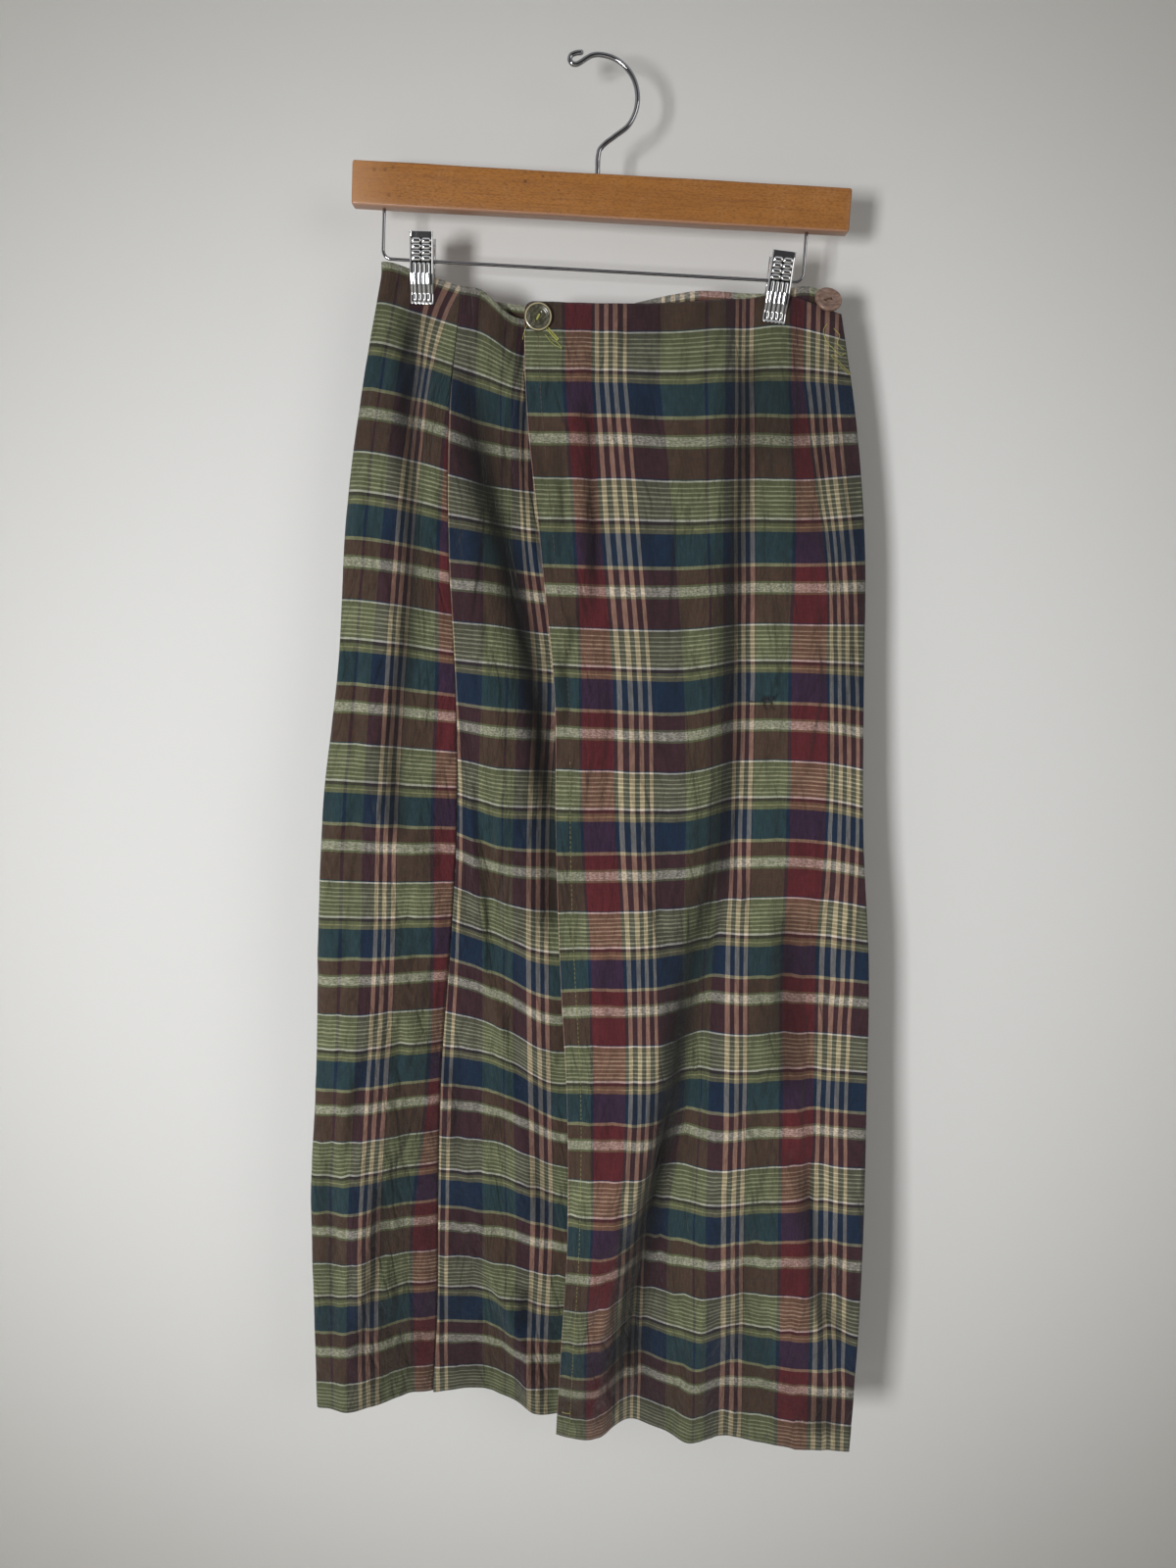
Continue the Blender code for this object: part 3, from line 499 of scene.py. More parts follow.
heights = (0, 70, 175, 280, 385, 490, 597, 702, 808, 888)
levels = (0, 98, 204, 310, 415, 520, 626, 731, 837, 888)
overAcross = {
    "down": heights,
    "edge": (-57, -56, -46, -36, -35, -32, -27, -27, -33, -37),
    "creamsFour": (-3, 5, 14, 23, 26, 30, 32, 28, 22, 23),
    "creamsThree": (98, 101, 103, 106, 105, 104, 104, 103, 104, 104),
    "creamsRight": (150, 158, 173, 180, 183, 183, 180, 180, 180, 178),
    "fold": (172, 183, 194, 196, 198, 205, 206, 205, 201, 198),
}
overCloth = {"edge": 0, "creamsFour": 60, "creamsThree": 153, "creamsRight": 229, "fold": 250}
overDepth = {
    "down": heights,
    "edge": (-9, -13, -17, -24, -34, -42, -44, -44, -32, -14),
    "creamsFour": (-9, -14, -18, -24, -30, -34, -34, -32, -23, -10),
    "middle": (-9, -13, -16, -20, -22, -22, -26, -29, -28, -20),
    "creamsThree": (-7, -12, -14, -16, -16, -18, -27, -33, -30, -26),
    "right": (-5, -8, -10, -12, -13, -14, -21, -33, -40, -42),
    "fold": (-5, -5, -8, -12, -18, -22, -27, -36, -46, -44),
}
overLift = {
    "down": levels,
    "edge": (-2, 1, -2, -1, -3, -1, 0, 0, 0, 4),
    "creamsFour": (-3, 0, -4, -4, -4, -1, 0, 0, 0, 0),
    "middle": (-3, -2, -4, -5, -4, 0, 0, 0, 0, 0),
    "creamsThree": (1, 0, -1, 2, 2, 1, 0, 0, 0, 0),
    "right": (3, 0, -1, 1, 1, 0, 0, 0, 0, 0),
    "fold": (-10, 2, 0, -3, -4, -1, 0, 0, 0, 0),
}
overStations = {"edge": 0, "creamsFour": 60, "middle": 105, "creamsThree": 153, "right": 215, "fold": 250}
overFolds = (
    {"name": "bulge", "x": (72, 60, 42, 8, -4, -8), "down": (420, 900), "width": (44, 17),
     "forward": (3, 10, 17, 22, 26, 24)},
    {"name": "besideBulge", "x": (92, 80, 62, 42, 32, 26), "down": (440, 900), "width": (16, 14),
     "forward": (-8, -11, -9, -6, -7, -6)},
    {"name": "hemRidge", "x": (92, 70), "down": (600, 900), "width": (13, 16), "forward": (3, 13)},
    {"name": "dartValley", "x": (-8, 12), "down": (60, 420), "width": (12, 12), "forward": (-3, -5)},
    {"name": "middleValley", "x": (103, 103), "down": (220, 420), "width": (14, 9), "forward": (-5, -5)},
    {"name": "rightCrease", "x": (162, 192), "down": (560, 830), "width": (10, 8), "forward": (-3, -7)},
)
backAcross = {
    "down": heights,
    "fold": (-160, -174, -190, -198, -211, -217, -221, -229, -230, -231),
    "seam": (-103, -111, -114, -111, -112, -119, -129, -134, -137, -142),
}
wrapDepth = {
    "down": levels,
    "fold": (-2, -6, -10, -16, -24, -30, -34, -34, -32, -30),
    "creams": (-5, -12, -14, -18, -26, -30, -33, -30, -28, -30),
    "seam": (-8, -12, -11, -8, -4, 0, 6, 9, 10, 10),
}
wrapAlong = {"fold": 0.0, "creams": 0.5, "seam": 1.0}
backDepth = {
    "down": levels,
    "foldLeft": (3, 1, -2, -7, -14, -19, -23, -23, -22, -21),
    "left": (3, 10, 15, 19, 22, 25, 27, 29, 30, 30),
    "middle": (7, 12, 17, 22, 26, 29, 31, 32, 33, 33),
    "right": (3, 9, 14, 18, 22, 24, 26, 27, 26, 26),
    "foldRight": (5, 5, 3, 0, -6, -12, -15, -22, -32, -33),
}
backAlong = {"foldLeft": 0.0, "left": 0.22, "middle": 0.55, "right": 0.8, "foldRight": 1.0}
backLift = {
    "down": (-8, 98, 310, 520, 731, 888),
    "seamRight": (-1, 1, -2, 0, 0, 0),
    "besideClip": (3, 1, -2, 0, 0, 0),
    "clip": (-2, 0, -1, 0, 0, 0),
    "right": (0, 0, 0, 0, 2, 3),
    "middle": (-12, -5, -2, 2, 6, 8),
    "left": (-2, 8, 10, 12, 16, 20),
    "fold": (19, 20, 17, 20, 24, 27),
    "creams": (12, 15, 14, 19, 26, 31),
    "seam": (2, 5, 8, 14, 14, 14),
}
backStations = {"seamRight": 0.0, "besideClip": 0.04, "clip": 0.11, "right": 0.22, "middle": 0.42,
                "left": 0.62, "fold": 0.76, "creams": 0.88, "seam": 1.0}
underAcross = {
    "down": heights,
    "seam": backAcross["seam"],
    "creams": (-66, -61, -55, -47, -49, -50, -50, -48, -53, -56),
    "end": (88, 92, 98, 102, 106, 110, 112, 112, 112, 112),
}
underDepth = {
    "down": levels,
    "seam": wrapDepth["seam"],
    "near": (-6, -11, -10, -6, 0, 4, 10, 14, 15, 15),
    "creams": (-4, -9, -10, -8, -7, -8, -3, 3, 6, 8),
    "behind": (-3, -4, -4, -3, -2, 0, 2, 4, 4, 4),
    "end": (-1, -2, -1, 0, 1, 2, 2, 1, 0, 0),
}
underAlong = {"seam": 0.0, "near": 0.14, "creams": 0.29, "behind": 0.6, "end": 1.0}
underLift = {
    "down": (-8, 98, 204, 310, 415, 520, 626, 731, 837, 888),
    "seam": (2, 3, 2, 2, 7, 11, 9, 8, 11, 13),
    "near": (-3, -5, -1, -3, -5, -1, 4, 3, 7, 14),
    "creams": (-19, -10, -7, -6, -8, -17, -11, -5, -2, 0),
    "behind": (-16, -12, -10, -10, -10, -14, -16, -10, -4, 0),
    "end": (-8, -6, -4, -4, -2, 0, 2, 2, 4, 4),
}
wrapFolds = (
    {"name": "sideFlute", "x": (-196, -204), "down": (480, 900), "width": (15, 20), "forward": (3, 8)},
    {"name": "wrapValley", "x": (-164, -160, -162), "down": (420, 900), "width": (13, 14),
     "forward": (-2, -4, -9)},
)
underFolds = (
    {"name": "waistTuck", "x": (-84, -60), "down": (4, 60), "width": (14, 12), "forward": (3, 3)},
    {"name": "stepFold", "x": (-103, -62), "down": (300, 620), "width": (9, 16), "forward": (-3, -8)},
    {"name": "diagonal", "x": (-116, -53), "down": (655, 900), "width": (9, 14), "forward": (4, 8)},
)
backFolds = (
    {"name": "backLeftFlute", "x": (-88, -112), "down": (260, 900), "width": (26, 22), "forward": (-2, -7)},
    {"name": "backLeftHollow", "x": (-42, -52), "down": (300, 900), "width": (20, 24), "forward": (2, 6)},
    {"name": "backRightFlute", "x": (62, 86), "down": (240, 900), "width": (24, 20), "forward": (-2, -6)},
    {"name": "backRightHollow", "x": (118, 146), "down": (320, 900), "width": (18, 20), "forward": (2, 6)},
)


def creaseTable(*rows):
    # Creases, one to a row: its name, how far it stands forward, its reach left and right, sharp for
    # an edge or round, the share of the light that it keeps out, and its line as (x, down) places.
    keys = ("name", "forward", "left", "right", "edge", "dark")
    return [dict(zip(keys, row), path=row[len(keys):]) for row in rows]


overCreases = creaseTable(
    ("dart fold", -1.6, 6, 4, "sharp", 0, (-17, 94), (-10, 128), (-7, 160), (-5, 189), (-2, 259)),
    ("edge crease", -1.2, 3, 3, "sharp", 0, (-29, 287), (-25, 305), (-21, 324)),
    ("edge pucker", -1.1, 3, 5, "sharp", 0, (-35, 307), (-25, 334), (-15, 361)),
    ("long fold", 2.4, 12, 4, "sharp", 0, (100, 369), (94, 395), (88, 441), (83, 472), (76, 499),
     (58, 542), (52, 651), (44, 712), (35, 757), (31, 787), (21, 870)),
    ("short crease", -0.9, 3, 3, "sharp", 0, (-10, 587), (-6, 605)),
    ("right nick", -1.0, 3, 4, "sharp", 0, (139, 487), (150, 506)),
    ("right ridge", 1.6, 8, 6, "round", 0, (153, 461), (155, 560), (156, 654)),
    ("hem crease", -2.0, 3, 6, "sharp", 0, (7, 719), (-1, 754), (-10, 777), (-15, 786)),
    ("hem crease fine", -0.9, 3, 3, "sharp", 0, (15, 733), (4, 785)),
    ("hem crease right", -1.2, 3, 5, "sharp", 0, (42, 700), (30, 744), (15, 772)),
    ("corner crease", 2.4, 10, 3, "sharp", 0, (167, 653), (170, 704), (174, 725), (188, 776), (195, 788)),
    ("red valley", -2.6, 4, 5, "sharp", 0, (-9, 108), (-8, 144), (-9, 181), (-7, 224)),
    ("edge valley", -1.6, 3, 4, "sharp", 0, (-30, 114), (-28, 145), (-32, 182)),
    ("thin upper", -1.1, 2.5, 3, "sharp", 0, (61, 106), (57, 132), (53, 164)),
    ("upper line", -1.4, 3, 4, "sharp", 0, (75, 82), (77, 122), (77, 159)),
    ("right upper", -1.2, 3, 3, "sharp", 0, (124, 117), (124, 158)),
    ("edge ripple", -1.2, 3, 3, "sharp", 0, (-38, 145), (-37, 182), (-38, 224)),
    ("bowed", -1.5, 3, 3, "sharp", 0, (-21, 213), (-24, 235), (-27, 264), (-29, 292)),
    ("short slant", -1.2, 2.5, 3, "sharp", 0, (-13, 252), (-2, 240), (6, 229)),
    ("right hang", -1.6, 4, 3, "sharp", 0, (136, 482), (146, 491), (143, 530), (142, 575)),
    ("below creams", -1.8, 5, 4, "sharp", 0, (53, 553), (50, 621), (42, 675), (32, 728)),
    ("corner", -2.4, 4, 4, "sharp", 0, (161, 627), (164, 659), (166, 692), (178, 729)),
    ("hem fan", -2.2, 4, 4, "sharp", 0, (15, 658), (19, 697), (9, 729), (0, 744)),
    ("small right", -1.2, 3, 3, "sharp", 0, (124, 612), (121, 644)),
    ("small middle", -1.2, 3, 3, "sharp", 0, (90, 623), (89, 661)),
    ("low red", -1.4, 4, 4, "sharp", 0, (-7, 493), (-8, 536), (-6, 565)),
    ("low creams", -1.3, 4, 4, "sharp", 0, (21, 506), (24, 551), (23, 602)),
    ("side ripple", -1.2, 4, 4, "sharp", 0, (180, 63), (186, 109), (191, 157)),
    ("low side", -1.4, 4, 4, "sharp", 0, (191, 410), (194, 461), (194, 514)),
    ("middle low", -1.4, 4, 4, "sharp", 0, (83, 353), (83, 398), (87, 431)),
    ("middle dark", -2.4, 14, 10, "round", 0.62, (113, 25), (104, 60), (102, 100), (99, 200), (99, 260),
     (99, 300), (97, 340), (89, 410), (76, 455), (67, 500), (60, 540), (56, 585), (50, 620), (46, 655),
     (38, 695), (29, 735), (24, 780), (20, 815), (15, 850)),
    ("middle core", 0, 7, 8, "round", 0.36, (108, 70), (103, 110), (97, 175), (93, 237), (96, 301)),
    ("low core", -1.6, 11, 10, "round", 0.58, (65, 505), (57, 560), (49, 620), (38, 690), (27, 760),
     (25, 850)),
    ("hem middle dark", 0, 30, 22, "round", 0.24, (12, 790), (16, 880)),
    ("right shoulder dark", 0, 30, 28, "round", 0.2, (138, 10), (142, 190)),
    ("darn left", -0.7, 1.2, 1.2, "sharp", 0.6, (121, 291), (124, 300)),
    ("darn right", -0.7, 1.2, 1.2, "sharp", 0.6, (126, 291), (129, 300)),
    ("darn upper", -0.7, 1.4, 1.2, "sharp", 0.5, (135, 262), (132, 270), (131, 284)),
    ("red line", -0.9, 2, 1.5, "sharp", 0.5, (-14, 127), (-9, 145), (-6, 161), (-7, 184), (-5, 200),
     (-7, 221)),
    ("strip line", -0.8, 1.5, 1.5, "sharp", 0.45, (-32, 127), (-31, 141), (-29, 161)),
    ("strip low line", -0.9, 1.5, 2, "sharp", 0.5, (-25, 217), (-23, 235), (-27, 254), (-28, 272),
     (-27, 291), (-28, 315)),
    ("red dark", -1.6, 6, 4, "round", 0.56, (-11, 62), (-9, 100), (-7, 150), (-5, 205)),
    ("edge dark", -1.0, 5, 4, "round", 0.3, (-33, 85), (-31, 140), (-33, 200)),
    ("edge low dark", -1.0, 6, 4, "round", 0.38, (-34, 240), (-28, 285), (-29, 315)),
    ("upper spot", -0.8, 5, 5, "round", 0.34, (31, 62), (32, 95)),
    ("waist spot", -0.6, 5, 5, "round", 0.2, (16, 8), (17, 40)),
    ("right upper dark", -1.2, 10, 8, "round", 0.2, (133, 50), (138, 120)),
    ("side dark", -1.2, 8, 6, "round", 0.3, (160, 70), (166, 130)),
    ("far side dark", -0.8, 6, 8, "round", 0.3, (181, 110), (187, 200), (187, 330)),
    ("low right dark", -1.6, 12, 14, "round", 0.52, (140, 440), (143, 500), (146, 560), (149, 605)),
    ("corner dark", -3.0, 9, 6, "round", 0.54, (159, 640), (164, 690), (170, 740), (179, 778),
     (197, 802)),
    ("hem corner dark", -1.5, 14, 12, "round", 0.62, (177, 835), (178, 880)),
    ("low middle dark", -1.6, 8, 6, "round", 0.3, (111, 705), (112, 745), (112, 830)),
    ("small dark", -1.2, 6, 5, "round", 0.22, (3, 462), (5, 510), (8, 550)),
)
underCreases = creaseTable(
    ("step fold", 1.8, 7, 3, "sharp", 0, (-100, 334), (-99, 416), (-94, 451), (-90, 507), (-73, 574)),
    ("hem diagonal", 2.4, 3, 9, "sharp", 0, (-127, 709), (-115, 732), (-108, 755), (-92, 779), (-78, 799),
     (-64, 836), (-62, 880)),
    ("waist crease", -1.2, 3, 3, "sharp", 0, (-105, 18), (-102, 51), (-98, 84)),
    ("waist slit", -1.8, 2, 3, "sharp", 0, (-75, 24), (-66, 25), (-56, 26)),
    ("waist tuck", -1.4, 3, 3, "sharp", 0, (-104, 10), (-94, 14), (-83, 15)),
    ("valley left", -1.6, 4, 4, "sharp", 0, (-91, 183), (-87, 236), (-86, 261)),
    ("fan", -2.2, 4, 4, "sharp", 0, (-76, 170), (-63, 222), (-53, 255)),
    ("edge shadow", -2.6, 13, 8, "sharp", 0, (-54, 120), (-44, 185), (-39, 272), (-39, 385)),
    ("upper fan", -1.6, 4, 4, "sharp", 0, (-77, 70), (-69, 108), (-59, 153)),
    ("small upper", -1.2, 3, 3, "sharp", 0, (-105, 48), (-100, 75)),
    ("hem bend", -1.4, 3, 4, "sharp", 0, (-106, 804), (-94, 828), (-107, 858)),
    ("middle line", -1.5, 4, 4, "sharp", 0, (-77, 379), (-79, 433), (-78, 485)),
    ("low line", -1.3, 4, 4, "sharp", 0, (-76, 580), (-72, 618), (-75, 667)),
    ("fan dark", -3.2, 16, 11, "round", 0.66, (-101, 42), (-93, 80), (-90, 110), (-82, 140), (-73, 175),
     (-66, 205), (-59, 237), (-53, 277), (-48, 301), (-42, 333), (-41, 365), (-40, 420), (-38, 470)),
    ("fan core", 0, 9, 9, "round", 0.78, (-95, 80), (-87, 125), (-74, 170), (-62, 225), (-53, 270),
     (-49, 315), (-46, 370)),
    ("fan line", -0.9, 2, 1.5, "sharp", 0.6, (-73, 179), (-71, 193), (-67, 212), (-64, 231), (-60, 243),
     (-52, 256)),
    ("fan low line", -0.9, 3, 3, "sharp", 0.6, (-53, 269), (-50, 293), (-49, 318), (-49, 352)),
    ("left rise", 2.6, 24, 12, "round", 0, (-104, 110), (-97, 200), (-86, 300), (-80, 400), (-76, 500),
     (-74, 570)),
    ("edge line dark", -1.2, 4, 5, "round", 0.52, (-59, 45), (-59, 90), (-58, 150)),
    ("low edge dark", -1.6, 8, 9, "round", 0.38, (-50, 560), (-52, 640), (-48, 740)),
    ("hem spot", -1.4, 9, 7, "round", 0.54, (-62, 770), (-63, 815)),
    ("seam dark", -1.4, 6, 5, "round", 0.3, (-122, 580), (-118, 640), (-117, 690)),
    ("thin dark", -1.0, 5, 4, "round", 0.22, (-85, 180), (-83, 215)),
)
wrapCreases = creaseTable(
    ("knee crease", -1.2, 3, 4, "sharp", 0, (-155, 485), (-143, 513)),
    ("knee line", -1.2, 4, 4, "sharp", 0, (-156, 442), (-155, 480), (-154, 521)),
    ("side crease", -1.2, 4, 4, "sharp", 0, (-197, 481), (-190, 505), (-184, 527)),
    ("creams valley", -1.8, 4, 4, "sharp", 0, (-154, 170), (-153, 208), (-155, 244)),
    ("creams upper", -2.0, 5, 4, "sharp", 0, (-132, 52), (-139, 92), (-145, 131)),
    ("vee left", -1.8, 3, 3, "sharp", 0, (-147, 461), (-153, 481), (-155, 506)),
    ("vee right", -2.0, 3, 4, "sharp", 0, (-134, 427), (-147, 452), (-144, 510)),
    ("long left", -1.8, 4, 4, "sharp", 0, (-190, 477), (-199, 522), (-205, 573)),
    ("long middle", -2.2, 5, 4, "sharp", 0, (-173, 551), (-186, 616), (-194, 671)),
    ("right short", -1.6, 3, 3, "sharp", 0, (-156, 554), (-163, 602)),
    ("far left", -1.8, 4, 4, "sharp", 0, (-206, 609), (-212, 684)),
    ("hem left", -1.8, 4, 4, "sharp", 0, (-196, 741), (-200, 800), (-199, 850)),
    ("hem middle", -1.6, 4, 4, "sharp", 0, (-160, 726), (-176, 767), (-181, 806)),
    ("side upper", -1.4, 4, 4, "sharp", 0, (-166, 91), (-170, 135), (-172, 179)),
    ("side middle", -1.6, 4, 4, "sharp", 0, (-182, 243), (-185, 308), (-189, 372)),
    ("creams dark", -3.0, 10, 9, "round", 0.74, (-143, 10), (-142, 50), (-142, 100), (-143, 200),
     (-147, 260), (-153, 300), (-157, 345), (-155, 420)),
    ("side dark", -0.8, 4, 4, "round", 0.22, (-178, 45), (-179, 110)),
    ("slant dark", -1.8, 5, 4, "round", 0.38, (-185, 585), (-194, 635), (-201, 680)),
    ("hem slant dark", -2.4, 7, 6, "round", 0.5, (-175, 680), (-178, 735), (-184, 785), (-192, 825),
     (-197, 860)),
    ("far left dark", -0.8, 8, 6, "round", 0.34, (-215, 650), (-216, 760), (-212, 840)),
)
backCreases = creaseTable(
    ("back long fold", -2.0, 5, 12, "sharp", 0, (-20, 180), (-34, 420), (-64, 640), (-80, 870)),
    ("back right fold", -1.8, 11, 4, "sharp", 0, (60, 260), (84, 520), (92, 700), (80, 880)),
    ("seat crease", -1.2, 4, 5, "sharp", 0, (10, 150), (40, 240), (52, 330)),
    ("knee crease", -1.3, 4, 5, "sharp", 0, (-110, 500), (-84, 560), (-70, 640)),
)


def evenSteps(share, values):
    return np.interp(share, np.linspace(0, 1, len(values)), values)


def foldDepth(folds, x, down):
    # Sum of soft ridges: each is a bell across its own line, eased in and out along it.
    total = np.zeros_like(x)
    for fold in folds:
        start, end = fold["down"]
        share = (down - start) / (end - start)
        centre = evenSteps(share, fold["x"])
        easeIn = smoothStep((down - start) / foldEase[0] + 0.5)
        easeOut = smoothStep((end - down) / foldEase[1] + 0.5) if end < skirt["length"] else 1.0
        side = np.where(x < centre, fold["width"][0], fold["width"][1])
        total += evenSteps(share, fold["forward"]) * np.exp(-((x - centre) / side) ** 2) * easeIn * easeOut
    return total


def creasePlace(crease, x, down):
    # The nearest place on the crease's line gives the distance to it, as a share of its reach on that
    # side, and how far along it that is; it fades over its last 30 mm, or quarter, at both ends.
    line = smoothPath(crease["path"], 3 * len(crease["path"]) + 6)
    nearest = np.full(x.shape, 1e9)
    signed = np.zeros_like(x)
    along = np.zeros_like(x)
    for order, (first, second) in enumerate(zip(line[:-1], line[1:])):
        step = second - first
        share = np.clip(((x - first[0]) * step[0] + (down - first[1]) * step[1]) / (step @ step), 0, 1)
        gapX, gapDown = x - first[0] - share * step[0], down - first[1] - share * step[1]
        distance = np.hypot(gapX, gapDown)
        closer = distance < nearest
        nearest = np.where(closer, distance, nearest)
        signed = np.where(closer, gapX * step[1] - gapDown * step[0], signed)
        along = np.where(closer, (order + share) / (len(line) - 1), along)
    away = nearest / np.where(signed < 0, crease["left"], crease["right"])
    run = np.linalg.norm(np.diff(line, axis=0), axis=1).sum()
    ease = min(run / 4, 30.0)
    return away, smoothStep(along * run / ease) * smoothStep((1 - along) * run / ease)


def creaseDepth(creases, x, down):
    # Sum of the creases: sharp ones fall off like an exponential, round ones like a soft bell.
    total = np.zeros_like(x)
    for crease in creases:
        away, fade = creasePlace(crease, x, down)
        if crease["edge"] == "sharp":
            shape = np.exp(-np.sqrt(away**2 + 0.04) * 1.3)
        else:
            shape = 1.0 / (1.0 + away**2) ** 2
        total += crease["forward"] * shape * fade
    return total * wrinkles["creases"]


def creaseShade(creases, x, down):
    # Painted shade: how much of the light the deep valleys keep out, as bells across their lines. The
    # cloth is also painted dimmer at the waist and near the hem.
    light = 1 - np.interp(down, wrinkles["dimDown"], wrinkles["dimShare"])
    for crease in creases:
        if crease["dark"]:
            away, fade = creasePlace(crease, x, down)
            light *= 1 - crease["dark"] * np.exp(-away**2) * fade
    return 1 - light


def crumple(u, v, seed, amount):
    # Sum of slanting sine waves of many lengths, mostly running down the cloth, each with its own
    # start; the waves bend by a slower one, so no two creases are alike.
    random = np.random.default_rng(seed)
    total = np.zeros_like(u)
    for wave in (210.0, 150.0, 104.0, 76.0, 58.0, 44.0, 33.0, 26.0, 20.0):
        for repeat in range(2):
            lean = random.normal(0.0, 0.42)
            start, bend = random.uniform(0, 2 * np.pi, 2)
            share = random.uniform(0.5, 1.0)
            phase = 2 * np.pi / wave * (u * np.cos(lean) + v * np.sin(lean) * 0.7)
            phase = phase + 1.3 * np.sin(v / (wave * 1.9) + bend) + start
            where = 0.5 + 0.5 * np.sin(v / (wave * 2.7) + u / (wave * 4.0) + 2 * bend)
            total += share * np.sin(phase) * where * wave**0.8
    return total * amount / 90.0


def fineCreases(across, down, seed, width):
    # Many short creases scattered at random, most of them running down the cloth. Each is a bent
    # line: its height falls away from the line by an exponential and fades at both ends.
    random = np.random.default_rng(seed)
    total = np.zeros_like(across)
    for order in range(int(width * skirt["length"] / wrinkles["areaEach"])):
        middle, start = random.uniform(0, skirt["length"]), random.uniform(0, width)
        shortest, longest = wrinkles["length"]
        half = shortest / 2 * (longest / shortest) ** random.uniform(0, 1)
        low, high = wrinkles["height"]
        height = random.choice((-1.0, 1.0), p=(0.65, 0.35)) * random.uniform(low, high)
        height *= min(1.0, 0.4 + half / 25)
        left, right = random.uniform(*wrinkles["reach"], 2)
        lean, bend = random.normal(0, wrinkles["lean"]), random.normal(0, wrinkles["bend"])
        near = (np.abs(down - middle) < half) & (np.abs(across - start) < 34.0)
        share = (down[near] - middle) / half
        off = across[near] - start - lean * half * share - bend * share**2
        side = np.where(off < 0, left, right)
        total[near] += height * (1 - share**2) ** 2 * np.exp(-1.3 * np.sqrt((off / side) ** 2 + 0.05))
    return total * (0.35 + 0.65 * smoothStep((down + 8.0) / 130.0))


def puckers(distance, along, period, reach):
    # Small waves beside a line of stitching, slanting a little and never quite even.
    uneven = 1.6 * np.sin(along / 23.0) + 1.1 * np.sin(along / 9.1)
    wave = np.sin(2 * np.pi * along / period + 0.12 * distance + uneven)
    return wave * np.exp(-((distance / reach) ** 2))


def clipGrip(x, down):
    # 1 where a clip's jaws hold the cloth, falling to 0 away from them.
    held = np.zeros_like(x)
    start, end = grip["down"]
    for clip in clips:
        lean = math.tan(math.radians(clip["lean"]))
        centre = clip["x"] - (clipSize["height"] - clipSize["rodDrop"]) * lean
        across = 1 - (np.abs(x - centre) - clipSize["width"] / 2 - grip["margin"]) / grip["spread"]
        below = (end - down) / (end - start)
        held = np.maximum(held, smoothStep(across) * smoothStep(below))
    return held


def hemStep(down):
    # The turned hem stands forward below its stitching.
    line = skirt["length"] - skirt["hemTurn"]
    return skirt["hemStand"] * smoothStep((down - line) / 2.0) - 0.5 * np.exp(-((down - line) / 1.6) ** 2)


def smallFolds(creases, x, wound, start, down, seeds, width):
    # All that is finer than the panel's form: the placed creases, the waves and the scattered creases.
    # x is where it hangs, wound the distance along the cloth, and start where the scattered ones begin.
    return (creaseDepth(creases, x, down) + crumple(wound, down, seeds[0], wrinkles["waves"])
            + fineCreases(wound - start, down, seeds[1], width))


def hemPuckers(wound, down):
    return 0.3 * puckers(down - 866.0, wound, 14.0, 13.0)


def gripped(y, rest, held):
    # Between the jaws the cloth lies at its depth of rest.
    return rest + (y - rest) * (1 - held)


def overSurface(cloth, down):
    # Over panel: cloth distance from the leading edge, and distance down.
    cloth, down = matched(cloth, down)
    fold = overCloth["fold"]
    front = np.minimum(cloth, fold)
    x = tableAt(overAcross, overCloth, front, down)
    y = tableAt(overDepth, overStations, front, down) - foldDepth(overFolds, x, down)
    lift = tableAt(overLift, overStations, front, down)
    seamFade = smoothStep((fold - cloth) / 22.0)
    detail = smallFolds(overCreases, x, cloth, 0.0, down, (11, 71), fold)
    detail = detail + 0.42 * puckers(cloth - 9.0, down, 13.0, 7.0) + hemPuckers(cloth, down)
    y = y - detail * seamFade - hemStep(down)
    past = np.clip(cloth - fold, 0, None)
    turn = np.pi / 2 * past / skirt["sideTurn"]
    behind = smoothCurve(backDepth["down"], backDepth["foldRight"], down)
    behind = behind - skirt["wall"] / 2 - 2 * skirt["seamGap"]
    y = gripped(y, -skirt["clippedDepth"], clipGrip(x, down))
    y = y + (behind - y) * np.sin(turn) ** 2
    x = x - skirt["turnInset"] * (1 - np.cos(turn))
    return np.stack([x, y, skirt["waistHeight"] - down + lift], axis=-1)


def wrapDistances(across, down):
    # Fold, seams and radius of the left turn at each height, and the cloth's distance from the fold:
    # below zero on the back, above it on the front.
    foldX = smoothCurve(backAcross["down"], backAcross["fold"], down)
    seamX = smoothCurve(backAcross["down"], backAcross["seam"], down) - skirt["seamInset"]
    rightX = smoothCurve(overAcross["down"], overAcross["fold"], down)
    rightX = rightX - skirt["turnInset"] + skirt["wall"] / 3
    frontY = smoothCurve(wrapDepth["down"], wrapDepth["fold"], down)
    backY = smoothCurve(backDepth["down"], backDepth["foldLeft"], down)
    radius = np.maximum((backY - frontY) / 2, 2.2)
    turnShare = skirt["backTurn"]
    reachBack = np.sqrt((rightX - foldX + radius) ** 2 - radius**2)
    reachFront = np.sqrt((seamX - foldX + radius) ** 2 - radius**2)
    cloth = np.where(across < turnShare, (across / turnShare - 1) * reachBack,
                     (across - turnShare) / (1 - turnShare) * reachFront)
    return foldX, seamX, rightX, radius, cloth


